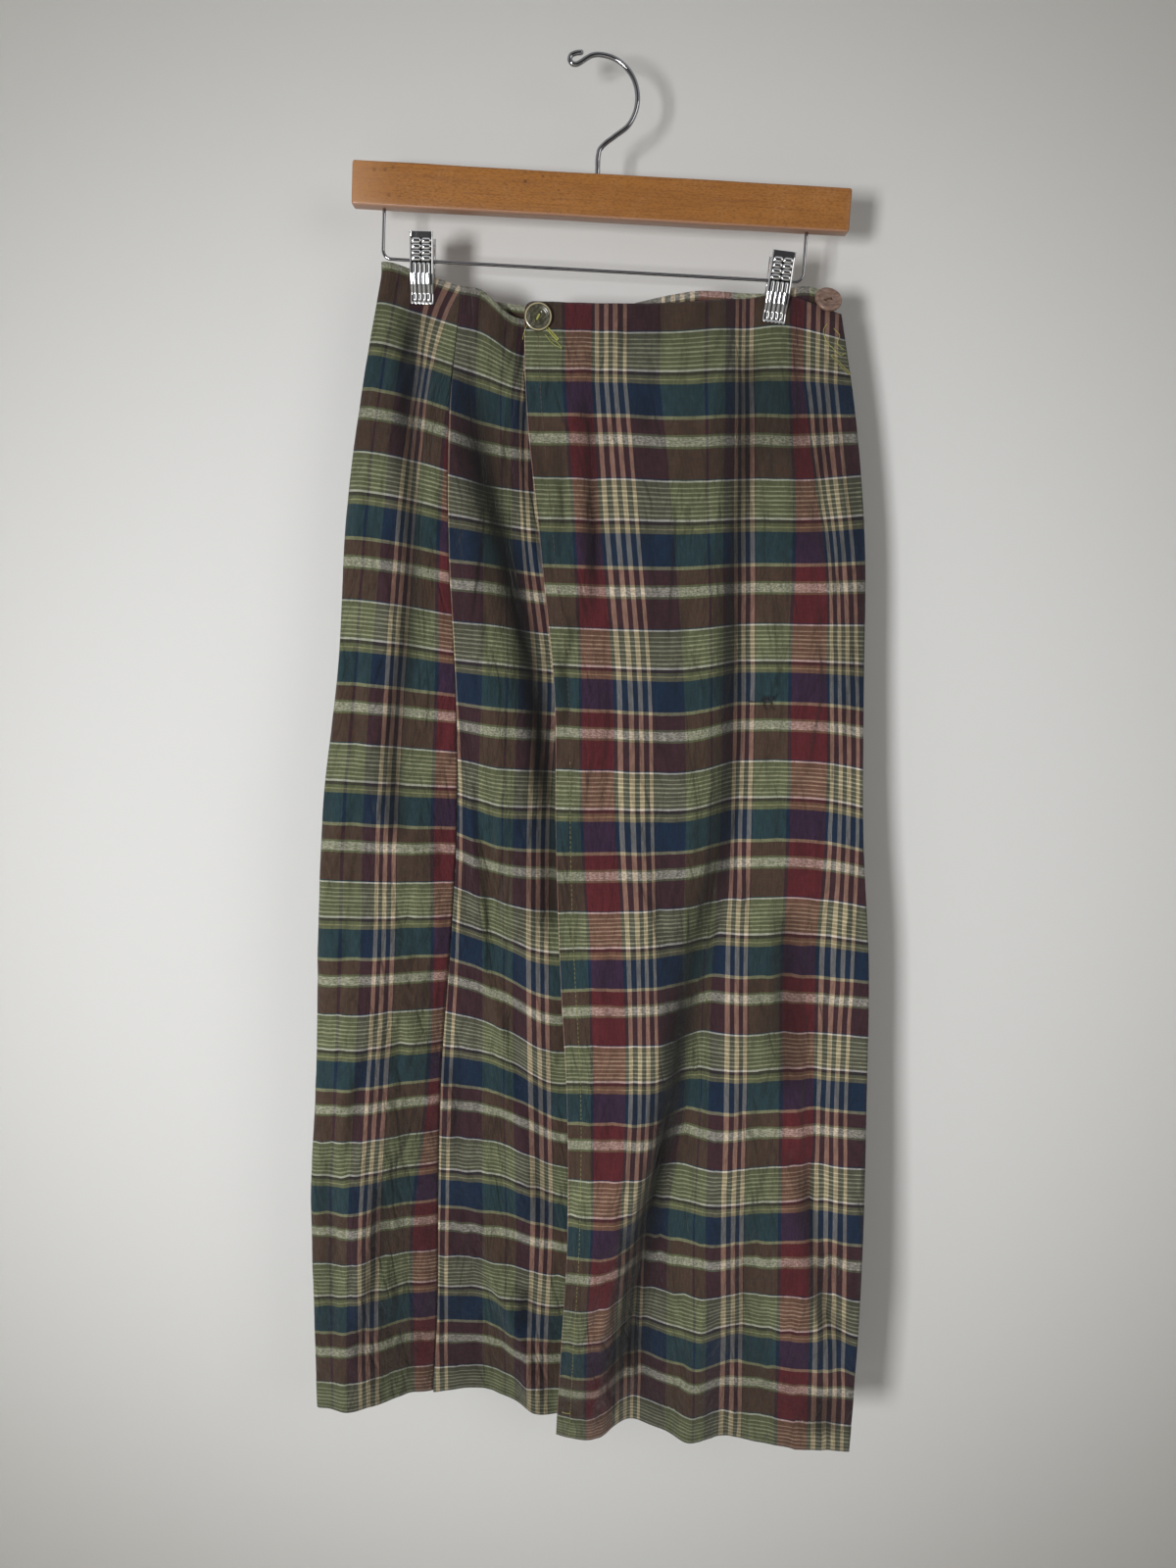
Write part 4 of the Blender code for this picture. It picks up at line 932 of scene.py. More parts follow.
def backSurface(across, down):
    # Back panel: across 0 at the right seam, 1 at the left one on the front. x is a square-root
    # curve of the cloth's distance from the left fold, so the cloth turns round there.
    across, down = matched(across, down)
    foldX, seamX, rightX, radius, cloth = wrapDistances(across, down)
    x = foldX + np.sqrt(cloth**2 + radius**2) - radius
    yBack = tableAt(backDepth, backAlong, np.clip((x - foldX) / (rightX - foldX), 0, 1), down)
    rightFade = smoothStep((rightX - x) / 22.0)
    yBack = yBack - foldDepth(backFolds, x, down)
    backDetail = smallFolds(backCreases, x, x, -230.0, down, (23, 83), 430.0)
    yBack = yBack - backDetail * rightFade + hemStep(down) * rightFade
    yFront = tableAt(wrapDepth, wrapAlong, np.clip((x - foldX) / (seamX - foldX), 0, 1), down)
    seamGap = seamX - x
    frontDetail = smallFolds(wrapCreases, x, cloth, -30.0, down, (37, 97), 150.0)
    frontDetail = (frontDetail + hemPuckers(cloth, down)) * smoothStep(seamGap / 14.0)
    yFront = yFront - foldDepth(wrapFolds, x, down) - frontDetail - hemStep(down)
    yFront = yFront + seamRoll(seamGap, down)
    held = clipGrip(x, down)
    yBack = gripped(yBack, skirt["clippedDepth"], held)
    yFront = gripped(yFront, -skirt["clippedDepth"], held)
    side = 0.5 * (1 + np.tanh(cloth / radius))
    y = yBack * (1 - side) + yFront * side
    lift = tableAt(backLift, backStations, across, down)
    return np.stack([x, y, skirt["waistHeight"] - down + lift], axis=-1)


def seamRoll(distance, down):
    # Beside the side seam the cloth rolls back into it, with small puckers between the stitches.
    near = np.exp(-np.clip(distance, 0, None) / 2.2)
    pucker = np.exp(-np.clip(distance, 0, None) / 7.0) * np.sin(down / 4.3 + 2.2 * np.sin(down / 31.0))
    return 0.9 * near + 0.22 * pucker


def underX(across, down):
    stations = {name: underAlong[name] for name in ("seam", "creams", "end")}
    return tableAt(underAcross, stations, across, down)


def underSurface(across, down):
    # Under panel: across 0 at the left seam, 1 at its end behind the over panel.
    across, down = matched(across, down)
    x = underX(across, down) + skirt["seamInset"]
    y = tableAt(underDepth, underAlong, across, down) - foldDepth(underFolds, x, down)
    seamGap = x - smoothCurve(underAcross["down"], underAcross["seam"], down)
    detail = smallFolds(underCreases, x, x, -145.0, down, (53, 59), 260.0) + hemPuckers(x, down)
    y = y - detail * smoothStep(seamGap / 14.0) - hemStep(down) + seamRoll(seamGap, down)
    lift = tableAt(underLift, underAlong, across, down)
    y = gripped(y, -skirt["clippedDepth"], clipGrip(x, down) * (x < 0))
    return np.stack([x, y, skirt["waistHeight"] - down + lift], axis=-1)


# Where the plaid's lines lie on the cloth. Each guide is a place on the chart, a list of distances
# down, and the line's x at each of them.
overGuides = (
    (-57.2, heights, overAcross["edge"]),
    (-26.8, (58, 161, 268, 372, 476, 588, 684, 787),
     (-27.5, -20.4, -16.2, -15.3, -9.5, -7.5, -7.2, -12.6)),
    (-2.8, (58, 161, 267, 372, 477, 587, 683, 797), (-8.8, -1.7, 7.0, 8.9, 14.9, 17.3, 13.6, 8.4)),
    (11.9, (57, 160, 266, 371, 477, 586, 689, 811), (4.8, 13.9, 23.2, 26.0, 29.7, 31.1, 26.8, 22.0)),
    (47.8, (56, 160, 265, 372, 480, 598, 700, 807), (40.8, 51.5, 59.7, 62.9, 61.3, 64.2, 52.8, 52.1)),
    (86.8, (58, 161, 269, 378, 488, 597, 694, 799), (88.1, 88.3, 89.8, 89.6, 85.8, 83.1, 80.9, 82.4)),
    (104.95, (58, 162, 272, 381, 487, 596, 694, 804),
     (101.2, 103.1, 106.3, 105.4, 104.0, 104.0, 102.4, 105.0)),
    (143.3, (58, 161, 272, 381, 488, 598, 696, 801),
     (137.4, 141.9, 140.9, 142.8, 140.9, 140.9, 141.0, 141.4)),
    (167.3, (58, 138, 162, 271, 379, 487, 600, 696, 798),
     (145.0, 157.0, 161.4, 167.6, 169.9, 165.5, 166.3, 164.2, 164.0)),
    (182.0, (57, 138, 162, 270, 377, 485, 597, 697, 799),
     (158.2, 168.4, 172.3, 180.0, 183.0, 182.5, 179.8, 180.2, 181.4)),
)
wrapGuides = (
    (58.95, heights, backAcross["fold"]),
    (86.8, (-8, 70, 178, 286, 393, 499, 612, 721, 831),
     (-136, -150, -162.3, -173.4, -180.6, -184.3, -191.4, -199, -204)),
    (98.4, (-8, 20, 34, 62, 110, 176, 284, 392, 500, 614, 721, 831),
     (-121, -130, -132, -135, -143, -151, -161, -169, -174, -182, -190, -194)),
    (104.95, (-8, 18, 32, 62, 110, 176, 284, 392, 500, 614, 721, 831),
     (-112, -123, -127, -131, -138, -145.8, -155.8, -163.7, -168.3, -176.2, -184.3, -188.7)),
    (111.5, (-8, 14, 29, 62, 110, 176, 284, 392, 500, 614, 721, 831),
     (-103, -114, -119, -126, -132, -140, -149.5, -157, -162, -170, -178, -182)),
    (140.3, (-8, 18, 32, 63, 171, 280, 391, 502, 622, 731, 845),
     (-84, -94, -100, -110, -123, -126.4, -132.0, -134.7, -142.5, -155.9, -159.1)),
)
underGuides = (
    (23.8, (-8, 61, 164, 272, 384, 499, 618, 727, 843),
     (-107, -110.0, -113.4, -110.2, -107.7, -113.4, -122.0, -126.6, -129.8)),
    (47.8, (-8, 55, 160, 270, 381, 492, 616, 723, 843),
     (-89, -92.6, -89.0, -90.7, -96.7, -94.5, -96.9, -98.2, -100.5)),
    (86.8, (-8, 60, 156, 266, 374, 483, 607, 718, 829),
     (-62, -67, -67.4, -64.2, -69.2, -70.7, -72.2, -70.7, -73.2)),
    (104.95, (-8, 60, 154, 264, 373, 474, 592, 710, 825),
     (-50, -56, -55.9, -44.3, -49.5, -50.7, -49.4, -48.9, -53.9)),
)


def chartAt(place, down, guides, measure=lambda x, down: x):
    # Straight between neighbouring guides, and one to one beyond the first and the last.
    places = [measure(smoothCurve(stops, line, down), down) for value, stops, line in guides]
    values = [guide[0] for guide in guides]
    chart = values[0] + place - places[0]
    for order in range(len(guides) - 1):
        slope = (values[order + 1] - values[order]) / np.maximum(places[order + 1] - places[order], 0.5)
        chart = np.where(place >= places[order], values[order] + (place - places[order]) * slope, chart)
    return np.where(place >= places[-1], values[-1] + place - places[-1], chart)


def overChart(cloth, down):
    fold = overCloth["fold"]
    x = tableAt(overAcross, overCloth, np.minimum(cloth, fold), down)
    return chartAt(x, down, overGuides) + np.clip(cloth - fold, 0, None)


def backChart(across, down):
    foldX, seamX, rightX, radius, cloth = wrapDistances(across, down)

    def clothAt(x, down):
        reach = x - foldX + radius
        return np.sqrt(np.maximum(reach**2 - radius**2, 0.0))

    return np.where(cloth > 0, chartAt(cloth, down, wrapGuides, clothAt), wrapGuides[0][0] + cloth)


def underChart(across, down):
    return chartAt(underX(across, down), down, underGuides)


# Grids of the panels: rows, and columns in the part that shows and in the part that is hidden. The
# Shows values are where the one ends, as a share of the way across; overEdge is the same in cloth,
# for the two finer columns at the opening edge.
panels = {
    "overColumns": 112, "overEdge": 2.4, "overRows": 370,
    "underSeen": 58, "underHidden": 26, "underShows": 0.43, "underRows": 330,
    "backSeen": 52, "backHidden": 110, "backShows": 0.74, "backRows": 270,
}


def twoRuns(start, middle, end, first, second):
    # Even steps from start to middle, then other even steps from middle to end.
    return np.concatenate([np.linspace(start, middle, first)[:-1], np.linspace(middle, end, second)])


def settle(piece, node=None):
    # Every piece rides the one body; most take the place of a plain solid.
    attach(piece, "root")
    if node:
        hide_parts(node)
    return piece


def thicken(piece, thickness):
    wall = piece.modifiers.new("thickness", "SOLIDIFY")
    wall.thickness = thickness * mm
    wall.offset = 0.0


def clothPiece(name, node, surface, chart, creases, columns, rows, top, shadedFrom=-1.0):
    # Rows of even steps from the top edge, at one height or at one for each column, to the hem.
    share = np.linspace(0, 1, rows + 1)[:, None]
    top = np.broadcast_to(top, columns.shape)
    down = top + (skirt["length"] - top) * share
    across = np.broadcast_to(columns, down.shape)
    points = surface(across, down)
    uv = np.stack([chart(across, down), down], axis=-1) * mm
    shade = np.where(across > shadedFrom, creaseShade(creases, points[..., 0], down), 0.0)
    piece = makePiece(name, points * mm, gridFaces(*across.shape), plaidCotton, uv=uv, shade=shade)
    thicken(piece, skirt["thickness"])
    settle(piece, node)


overSteps = twoRuns(0, panels["overEdge"], overCloth["fold"] + skirt["sideTurn"], 3, panels["overColumns"])
corner = np.clip(1 - overSteps / skirt["cornerRadius"], 0, 1)
overTop = skirt["cornerRadius"] * (1 - np.sqrt(np.clip(1 - corner**2, 0, 1)))
underSteps = twoRuns(0, panels["underShows"], 1, panels["underSeen"], panels["underHidden"])
backSteps = twoRuns(0, panels["backShows"], 1, panels["backHidden"], panels["backSeen"])
clothPiece("overPanel", "skirt_over_front", overSurface, overChart, overCreases, overSteps,
           panels["overRows"], overTop)
clothPiece("underPanel", "skirt_under_front", underSurface, underChart, underCreases, underSteps,
           panels["underRows"], -skirt["waistStand"])
clothPiece("backPanel", "skirt_back", backSurface, backChart, wrapCreases, backSteps, panels["backRows"],
           -skirt["waistStand"], shadedFrom=skirt["backTurn"])
print("skirt panels ready")


# Hanger

hanger = {
    "barSize": (356.0, 12.0, 30.0), "barCentre": (-1.3, 0.0, -93.6), "barTilt": 3.05, "barEdge": 1.7,
    "rodRadius": 1.2, "rodDrop": 34.2, "rodCorner": 6.0, "rodEnds": (-156.6, 147.2), "rodSocket": 8.0,
    "hookRadius": 1.8, "hookStemX": -3.8, "hookBowRadius": 28.5, "hookBowX": -4.4, "hookSocket": 19.0,
}


def onBar(x, z, y=0.0):
    # Point of the tilted bar, from its own x and z.
    tilt = math.radians(-hanger["barTilt"])
    centre = hanger["barCentre"]
    return (centre[0] + x * math.cos(tilt) - z * math.sin(tilt), y,
            centre[2] + x * math.sin(tilt) + z * math.cos(tilt))


def barMatrix():
    centre = Vector(hanger["barCentre"]) * mm
    return Matrix.Translation(centre) @ Matrix.Rotation(math.radians(hanger["barTilt"]), 4, "Y")


def barSurface():
    # Rounded rectangle carried along the bar; near each end it shrinks like a quarter circle.
    length, depth, height = hanger["barSize"]
    edge = hanger["barEdge"]
    corners = np.linspace(0, np.pi / 2, 6)
    steps = edge * (1 - np.cos(np.linspace(0.15, np.pi / 2, 6)))
    stations = np.concatenate([-length / 2 + steps, np.linspace(-length / 2 + 6, length / 2 - 6, 60),
                               length / 2 - steps[::-1]])
    reach = length / 2 - np.abs(stations)
    inset = edge - np.sqrt(np.clip(edge**2 - np.clip(edge - reach, 0, edge) ** 2, 0, None))
    ring = []
    for signY, signZ, start in ((1, 1, 0), (-1, 1, 1), (-1, -1, 2), (1, -1, 3)):
        angle = corners + start * np.pi / 2
        ring.append(np.stack([signY * (depth / 2 - edge) + edge * np.cos(angle),
                              signZ * (height / 2 - edge) + edge * np.sin(angle)], axis=1))
    ring = np.concatenate(ring)
    flats = np.linspace(0, 1, 5)[1:-1]
    filled = [ring[:1]]
    for first, second in zip(ring, np.roll(ring, -1, axis=0)):
        if np.linalg.norm(second - first) > 4:
            filled.append(first + (second - first) * flats[:, None])
        filled.append(second[None])
    ring = np.concatenate(filled)[:-1]
    half = np.array([depth / 2, height / 2])
    scale = (half[None] - inset[:, None]) / half[None]
    section = ring[None] * scale[:, None]
    # Planed wood: edges and faces wander by a few hundredths.
    wander = 0.12 * np.sin(stations / 31.0) + 0.07 * np.sin(stations / 11.0 + 1.0)
    x = np.broadcast_to(stations[:, None], section.shape[:2])
    points = np.stack([x, section[..., 0], section[..., 1] + wander[:, None] * np.sign(section[..., 1])],
                      axis=-1)
    return points, tubeFaces(len(stations), len(ring))


def placePoints(points, matrix):
    turned = np.asarray(matrix)
    return points @ turned[:3, :3].T + turned[:3, 3]


# Colours of the wood, and its spots: x and z along the bar's tilt, radius and strength.
wood = {
    "light": (0.32, 0.130, 0.022), "dark": (0.185, 0.068, 0.011), "streak": (0.14, 0.046, 0.010),
    "fleck": (0.12, 0.040, 0.007), "rubbed": (0.37, 0.19, 0.085), "paleLowerEdge": (0.33, 0.20, 0.15),
    "spot": (0.055, 0.018, 0.006), "rubbedX": (-0.135, -0.178), "paleLowerEdgeZ": (-0.1066, -0.1080),
    "spots": ((-51.1, -86.9, 1.3, 0.75), (-38.7, -82.9, 1.1, 0.5), (-27.1, -91.5, 0.6, 0.8),
              (-150.7, -84.3, 1.6, 0.4), (-145.2, -82.7, 1.2, 0.35), (-158.3, -84.7, 1.5, 0.35),
              (-147.4, -101.2, 1.6, 0.35), (-139.7, -101.4, 0.5, 0.7), (-65.6, -88.9, 1.2, 0.25)),
}


def buildWood():
    # Beech under worn varnish: broad bands and short flecks drawn out along the bar.
    material, tree, shader = newMaterial("barWood")
    turned = stretched(tree, objectPlace(tree), (1.0, 1.0, 1.0),
                       (0.0, math.radians(-hanger["barTilt"]), 0.0))
    broad = noiseOn(tree, stretched(tree, turned, (5.0, 60.0, 60.0)), 1.0, 4.0, 0.55)
    streak = noiseOn(tree, stretched(tree, turned, (26.0, 900.0, 900.0)), 1.0, 3.0, 0.6)
    fleck = noiseOn(tree, stretched(tree, turned, (380.0, 1300.0, 1300.0)), 1.0, 3.0, 0.6)

    def layer(base, share, amount, colour):
        return mixColours(tree, calc(tree, "MULTIPLY", share, amount), base, colour)

    base = mixColours(tree, broad, wood["light"], wood["dark"])
    base = layer(base, between(tree, streak, 0.45, 0.75), 0.55, wood["streak"])
    base = layer(base, between(tree, fleck, 0.47, 0.64), 0.55, wood["fleck"])
    # Paler, rubbed wood at the left end and along it here and there.
    part = axesOf(tree, turned)
    rubbed = between(tree, part["X"], *wood["rubbedX"])
    wear = placeGroup(tree, fineWear, {"Place": turned, "Size": 55.0})
    rubbed = calc(tree, "MAXIMUM", rubbed, calc(tree, "MULTIPLY", wear["Mask"], 0.45))
    base = layer(base, rubbed, 0.6, wood["rubbed"])
    # A paler, pinkish band along the lower edge, and small dark knots and stains.
    base = layer(base, between(tree, part["Z"], *wood["paleLowerEdgeZ"]), 0.6, wood["paleLowerEdge"])
    flat = stretched(tree, turned, (1.0, 0.0, 1.0))
    for x, z, radius, dark in wood["spots"]:
        away = addNode(tree, "ShaderNodeVectorMath", {0: flat, 1: (x * mm, 0.0, z * mm)},
                       operation="DISTANCE").outputs["Value"]
        away = calc(tree, "MULTIPLY_ADD", fleck, 0.8 * mm, away)
        base = layer(base, between(tree, away, (radius + 0.9) * mm, radius * 0.7 * mm), dark, wood["spot"])
    height = calc(tree, "ADD", streak, calc(tree, "MULTIPLY", fleck, 0.6))
    feed(tree, shader, {"Base Color": base,
                        "Roughness": calc(tree, "MULTIPLY_ADD", wear["Height"], 0.3, 0.26),
                        "Normal": reliefOf(tree, height, 0.35, 0.15)})
    return material


def buildChrome(name, tint, wearSize, grooved=False):
    # Plated steel: bright, with fine rubbing that dulls it in places.
    material, tree, shader = newMaterial(name)
    wear = placeGroup(tree, fineWear, {"Place": objectPlace(tree), "Size": wearSize})
    dull = (tint[0] * 0.72, tint[1] * 0.70, tint[2] * 0.68)
    colour = mixColours(tree, wear["Mask"], tint, dull)
    if grooved:
        # Painted dark reflection: the low places between the pressed ribs and humps are painted nearly
        # black.
        colour = mixColours(tree, shadeOf(tree), colour, (0.012, 0.012, 0.014))
    feed(tree, shader, {"Base Color": colour, "Metallic": 1.0,
                        "Roughness": calc(tree, "MULTIPLY_ADD", wear["Mask"], 0.14, 0.06),
                        "Normal": reliefOf(tree, wear["Height"], 0.12, 0.05)})
    return material


barWood = buildWood()
# The wire is tinted darker than the plates: partly the plated steel's colour, partly a painted dark
# reflection.
wireChrome = buildChrome("wireChrome", (0.32, 0.32, 0.34), 120.0)
plateChrome = buildChrome("plateChrome", (0.72, 0.72, 0.74), 200.0, grooved=True)
springChrome = buildChrome("springChrome", (0.45, 0.45, 0.47), 200.0)

barPoints, barFaces = barSurface()
bar = makePiece("hangerBar", placePoints(barPoints * mm, barMatrix()), barFaces, barWood)
settle(bar, "hanger_bar")


def arcPoints(centre, radius, start, end, steps):
    angle = np.radians(np.linspace(start, end, steps))
    return np.stack([centre[0] + radius * np.cos(angle), np.zeros(steps),
                     centre[1] + radius * np.sin(angle)], axis=1)


def hookPath():
    # Straight stem, a bend, a slant, the round bow, and a tip curled back over itself.
    half = hanger["barSize"][2] / 2
    foot = onBar(hanger["hookStemX"], half - hanger["hookSocket"])
    middle = onBar(hanger["hookStemX"], half + 2.0)
    top = onBar(hanger["hookStemX"], half + 14.5)
    bow = arcPoints((hanger["hookBowX"], hanger["hookRadius"] - hanger["hookBowRadius"]),
                    hanger["hookBowRadius"], -38, 92, 14)
    slant = [(-2.8, 0.0, -61.1), (-0.7, 0.0, -58.5), (7.8, 0.0, -52.1)]
    tip = [(-9.2, 0.0, 0.9), (-12.4, 0.0, -0.8), (-16.4, 0.0, -3.3), (-19.4, 0.0, -4.5),
           (-22.4, 0.0, -3.9), (-23.9, 0.0, -1.2), (-22.8, 0.0, 1.4), (-20.2, 0.0, 2.6), (-15.2, 0.0, 3.3)]
    return smoothPath([foot, middle, top] + slant + bow.tolist() + tip, 220)


def rodPath():
    half = hanger["barSize"][2] / 2
    left, right = (end - hanger["barCentre"][0] for end in hanger["rodEnds"])
    low = -half - hanger["rodDrop"]
    corner = hanger["rodCorner"]
    turn = np.linspace(0, np.pi / 2, 8)
    own = [(left, -half + hanger["rodSocket"]), (left, -half - 4.0), (left, -half - 14.0)]
    own += [(left + corner - corner * math.cos(a), low + corner - corner * math.sin(a)) for a in turn]
    own += [(x, low) for x in np.linspace(left + corner + 8, right - corner - 8, 24)]
    own += [(right - corner + corner * math.sin(a), low + corner - corner * math.cos(a)) for a in turn]
    own += [(right, -half - 14.0), (right, -half - 4.0), (right, -half + hanger["rodSocket"])]
    return np.array([onBar(x, z) for x, z in own])


for name, node, path, radius in (("hookWire", "hanger_hook", hookPath(), hanger["hookRadius"]),
                                 ("clipRod", "hanger_rod", rodPath(), hanger["rodRadius"])):
    settle(makeTube(name, path, radius, wireChrome, sides=20), node)
print("hanger ready")


# Clips

plateProfile = {
    "down": (0.0, 4.0, 8.0, 14.0, 18.0, 22.0, 28.0, 35.0, 41.0, 46.5, 48.5),
    "out": (9.6, 8.8, 8.4, 8.0, 7.7, 7.3, 6.8, 4.8, 2.45, 2.45, 3.2),
    "ear": (9.2, 8.4, 5.6, 1.65, 1.65, 1.65, 4.6, 4.3, 2.1, 2.1, 2.9),
}
plateRelief = {
    "humpRows": (6.2, 10.1, 14.0, 17.9), "humpX": 3.6, "humpSize": (3.3, 1.5), "humpHeight": 0.75,
    "ribX": (-4.95, -1.65, 1.65, 4.95), "ribDown": (20.5, 46.6), "ribWidth": 1.0, "ribHeight": 0.8,
    "grooveDark": 0.92, "toothPitch": 2.7, "toothDepth": 0.9, "cornerRadius": 0.9,
}


def plateSurface(outward):
    # Pressed plate: rows down the clip, and across it an ear, a rounded corner, the face, a corner
    # and an ear. Humps and ribs are raised from the face as bells and half rounds.
    half = clipSize["width"] / 2
    radius = plateRelief["cornerRadius"]
    down = np.linspace(0, clipSize["height"], 98)[:, None]
    out = np.interp(down, plateProfile["down"], plateProfile["out"])
    ear = np.interp(down, plateProfile["down"], plateProfile["ear"])
    face = np.linspace(-half + radius, half - radius, 46)
    turn = np.linspace(0, np.pi / 2, 5)
    across = np.concatenate([np.full(5, -half), -half + radius * (1 - np.cos(turn)), face[1:-1],
                             half - radius * (1 - np.cos(turn[::-1])), np.full(5, half)])
    inset = np.concatenate([np.zeros(5), radius * (1 - np.sin(turn)), np.zeros(44),
                            radius * (1 - np.sin(turn[::-1])), np.zeros(5)])
    earShare = np.concatenate([np.linspace(1, 0.12, 5), np.zeros(len(across) - 10),
                               np.linspace(0.12, 1, 5)])
    x = np.broadcast_to(across[None, :], (len(down), len(across)))
    bend = out - radius
    y = np.where(earShare > 0, bend - (bend - np.minimum(ear, bend)) * earShare, out - inset)
    flat = smoothStep((half - radius - np.abs(x)) / 0.6)
    humps = np.zeros_like(y)
    for row in plateRelief["humpRows"]:
        for side in (-1, 1):
            awayX = (x - side * plateRelief["humpX"]) / plateRelief["humpSize"][0]
            awayDown = (down - row) / plateRelief["humpSize"][1]
            humps += np.sqrt(np.clip(1 - awayX**4 - awayDown**2, 0, 1))
    ribs = np.zeros_like(y)
    start, end = plateRelief["ribDown"]
    for rib in plateRelief["ribX"]:
        ribs += np.sqrt(np.clip(1 - ((x - rib) / plateRelief["ribWidth"]) ** 2, 0, 1))
    ribs = ribs * smoothStep((down - start) / 1.5) * smoothStep((end - down) / 1.5)
    y = y + (humps * plateRelief["humpHeight"] + ribs * plateRelief["ribHeight"]) * flat
    pressed = smoothStep((down - 4.2) / 0.6) * smoothStep((47.2 - down) / 0.6)
    # Painted dark reflection: the low places between the humps and ribs, kept in the shade attribute.
    darkReflection = pressed * flat * (1 - smoothStep((humps + ribs) / 0.55)) * plateRelief["grooveDark"]
    tooth = np.abs((x / plateRelief["toothPitch"]) % 1.0 - 0.5) * 2 * plateRelief["toothDepth"]
    low = smoothStep((down - 45.0) / (clipSize["height"] - 45.0))
    z = -down + tooth * low
    points = np.stack([x, y * outward, np.broadcast_to(z, x.shape)], axis=-1)
    faces = gridFaces(*x.shape)
    return points, faces if outward < 0 else flipFaces(faces), darkReflection


def clipMatrix(clip):
    lean = math.radians(clip["lean"])
    place = Vector((clip["x"] + clipSize["rodDrop"] * math.sin(lean), 0.0, clip["top"])) * mm
    return Matrix.Translation(place) @ Matrix.Rotation(lean, 4, "Y")


def rodHeight(x):
    tilt = math.radians(hanger["barTilt"])
    low = -hanger["barSize"][2] / 2 - hanger["rodDrop"]
    ownX = (x - hanger["barCentre"][0] - low * math.sin(tilt)) / math.cos(tilt)
    return onBar(ownX, low)[2]


springWire = {"radius": 2.15, "wire": 0.52, "turns": 9, "stepsEach": 18, "shorter": 5.6}


def springPath(clip):
    # Wound wire: a helix round the rod, as long as the room between the ears.
    length = clipSize["width"] - springWire["shorter"]
    turns = springWire["turns"]
    angle = np.linspace(0, 2 * np.pi * turns, turns * springWire["stepsEach"])
    along = np.linspace(-length / 2, length / 2, len(angle))
    tilt = math.radians(hanger["barTilt"])
    y, up = springWire["radius"] * np.cos(angle), springWire["radius"] * np.sin(angle)
    return np.stack([clip["x"] + along * math.cos(tilt) + up * math.sin(tilt), y,
                     rodHeight(clip["x"]) - along * math.sin(tilt) + up * math.cos(tilt)], axis=1)


for clip in clips:
    for label, outward in (("Front", -1.0), ("Back", 1.0)):
        points, faces, darkReflection = plateSurface(outward)
        points = placePoints(points * mm, clipMatrix(clip))
        plate = makePiece("clip" + clip["side"] + label, points, faces, plateChrome, shade=darkReflection)
        thicken(plate, clipSize["thickness"])
        settle(plate, clip["node"] + "_" + label.lower())
    spring = makeTube("clip" + clip["side"] + "Spring", springPath(clip), springWire["wire"], springChrome,
                      sides=6, upward=(1, 0, 0.02))
    settle(spring, clip["node"] + "_spring")
print("clips ready")


# Buttons

buttons = (
    {"name": "frontButton", "node": "button_front", "slot": "horn_button", "across": 0.043, "along": 0.013,
     "rise": 0.0, "lean": (0.0, 0.0, 0.0), "turn": 60.0},
    {"name": "sideButton", "node": "button_side", "slot": "brown_button", "across": 0.932, "along": 0.0,
     "rise": 7.0, "lean": (0.2, 0.0, 0.5), "turn": 12.0},
)
buttonSize = {"radius": 10.0, "thickness": 3.2, "holeRadius": 1.0, "holeSpacing": 4.6, "gap": 0.3}


def buttonMatrix(row):
    # On the plain solid's own surface, leaned back where it stands above the edge.
    whole = overCloth["fold"] + skirt["sideTurn"]
    step = 0.004 * whole

    def at(cloth, share):
        near = max(0.0, 1 - cloth / skirt["cornerRadius"])
        top = skirt["cornerRadius"] * (1 - math.sqrt(max(0.0, 1 - near**2)))
        return overSurface(np.array([[cloth]]), np.array([[top + (skirt["length"] - top) * share]]))[0, 0]

    cloth = row["across"] * whole
    here = at(cloth, row["along"])
    right = at(cloth + step, row["along"]) - at(cloth - step, row["along"])
    below = at(cloth, row["along"] + 0.008) - here
    outward = Vector(np.cross(below, right)).normalized()
    facing = (outward + Vector(row["lean"])).normalized()
    aim = facing.to_track_quat("Z", "Y").to_matrix().to_4x4()
    upFace = (Vector((0.0, 0.0, 1.0)) - facing * facing.z).normalized()
    centre = (Vector(here) + outward * skirt["wall"] / 2
              + facing * (buttonSize["gap"] + buttonSize["thickness"] / 2) + upFace * row["rise"])
    return Matrix.Translation(centre * mm) @ aim @ Matrix.Rotation(math.radians(row["turn"]), 4, "Z")


def buttonSurface():
    # Rings of a dished disc with a raised rim; near each hole the face dips into a round well.
    radius, half = buttonSize["radius"], buttonSize["thickness"] / 2
    outward = (0.001, 0.06, 0.14, 0.20, 0.26, 0.32, 0.38, 0.45, 0.52, 0.60, 0.65, 0.69, 0.73, 0.78,
               0.85, 0.91, 0.96, 0.99, 1.0, 0.99, 0.95, 0.86, 0.5, 0.001)
    rise = (0.35, 0.35, 0.35, 0.35, 0.36, 0.37, 0.38, 0.39, 0.41, 0.46, 0.56, 0.76, 0.93, 1.0,
            1.0, 0.94, 0.76, 0.48, 0.1, -0.4, -0.8, -1.0, -1.0, -1.0)
    return turnedSurface(np.stack([outward, rise], axis=1) * np.array([radius, half]), 56)


def wellDepth(points):
    # How far the face drops at the two sewing holes.
    drop = np.zeros(len(points))
    for side in (-1, 1):
        away = np.hypot(points[:, 0] - side * buttonSize["holeSpacing"] / 2, points[:, 1])
        drop += 1 - smoothStep((away - buttonSize["holeRadius"] * 0.75) / (buttonSize["holeRadius"] * 0.5))
    return drop * (points[:, 2] > 0)


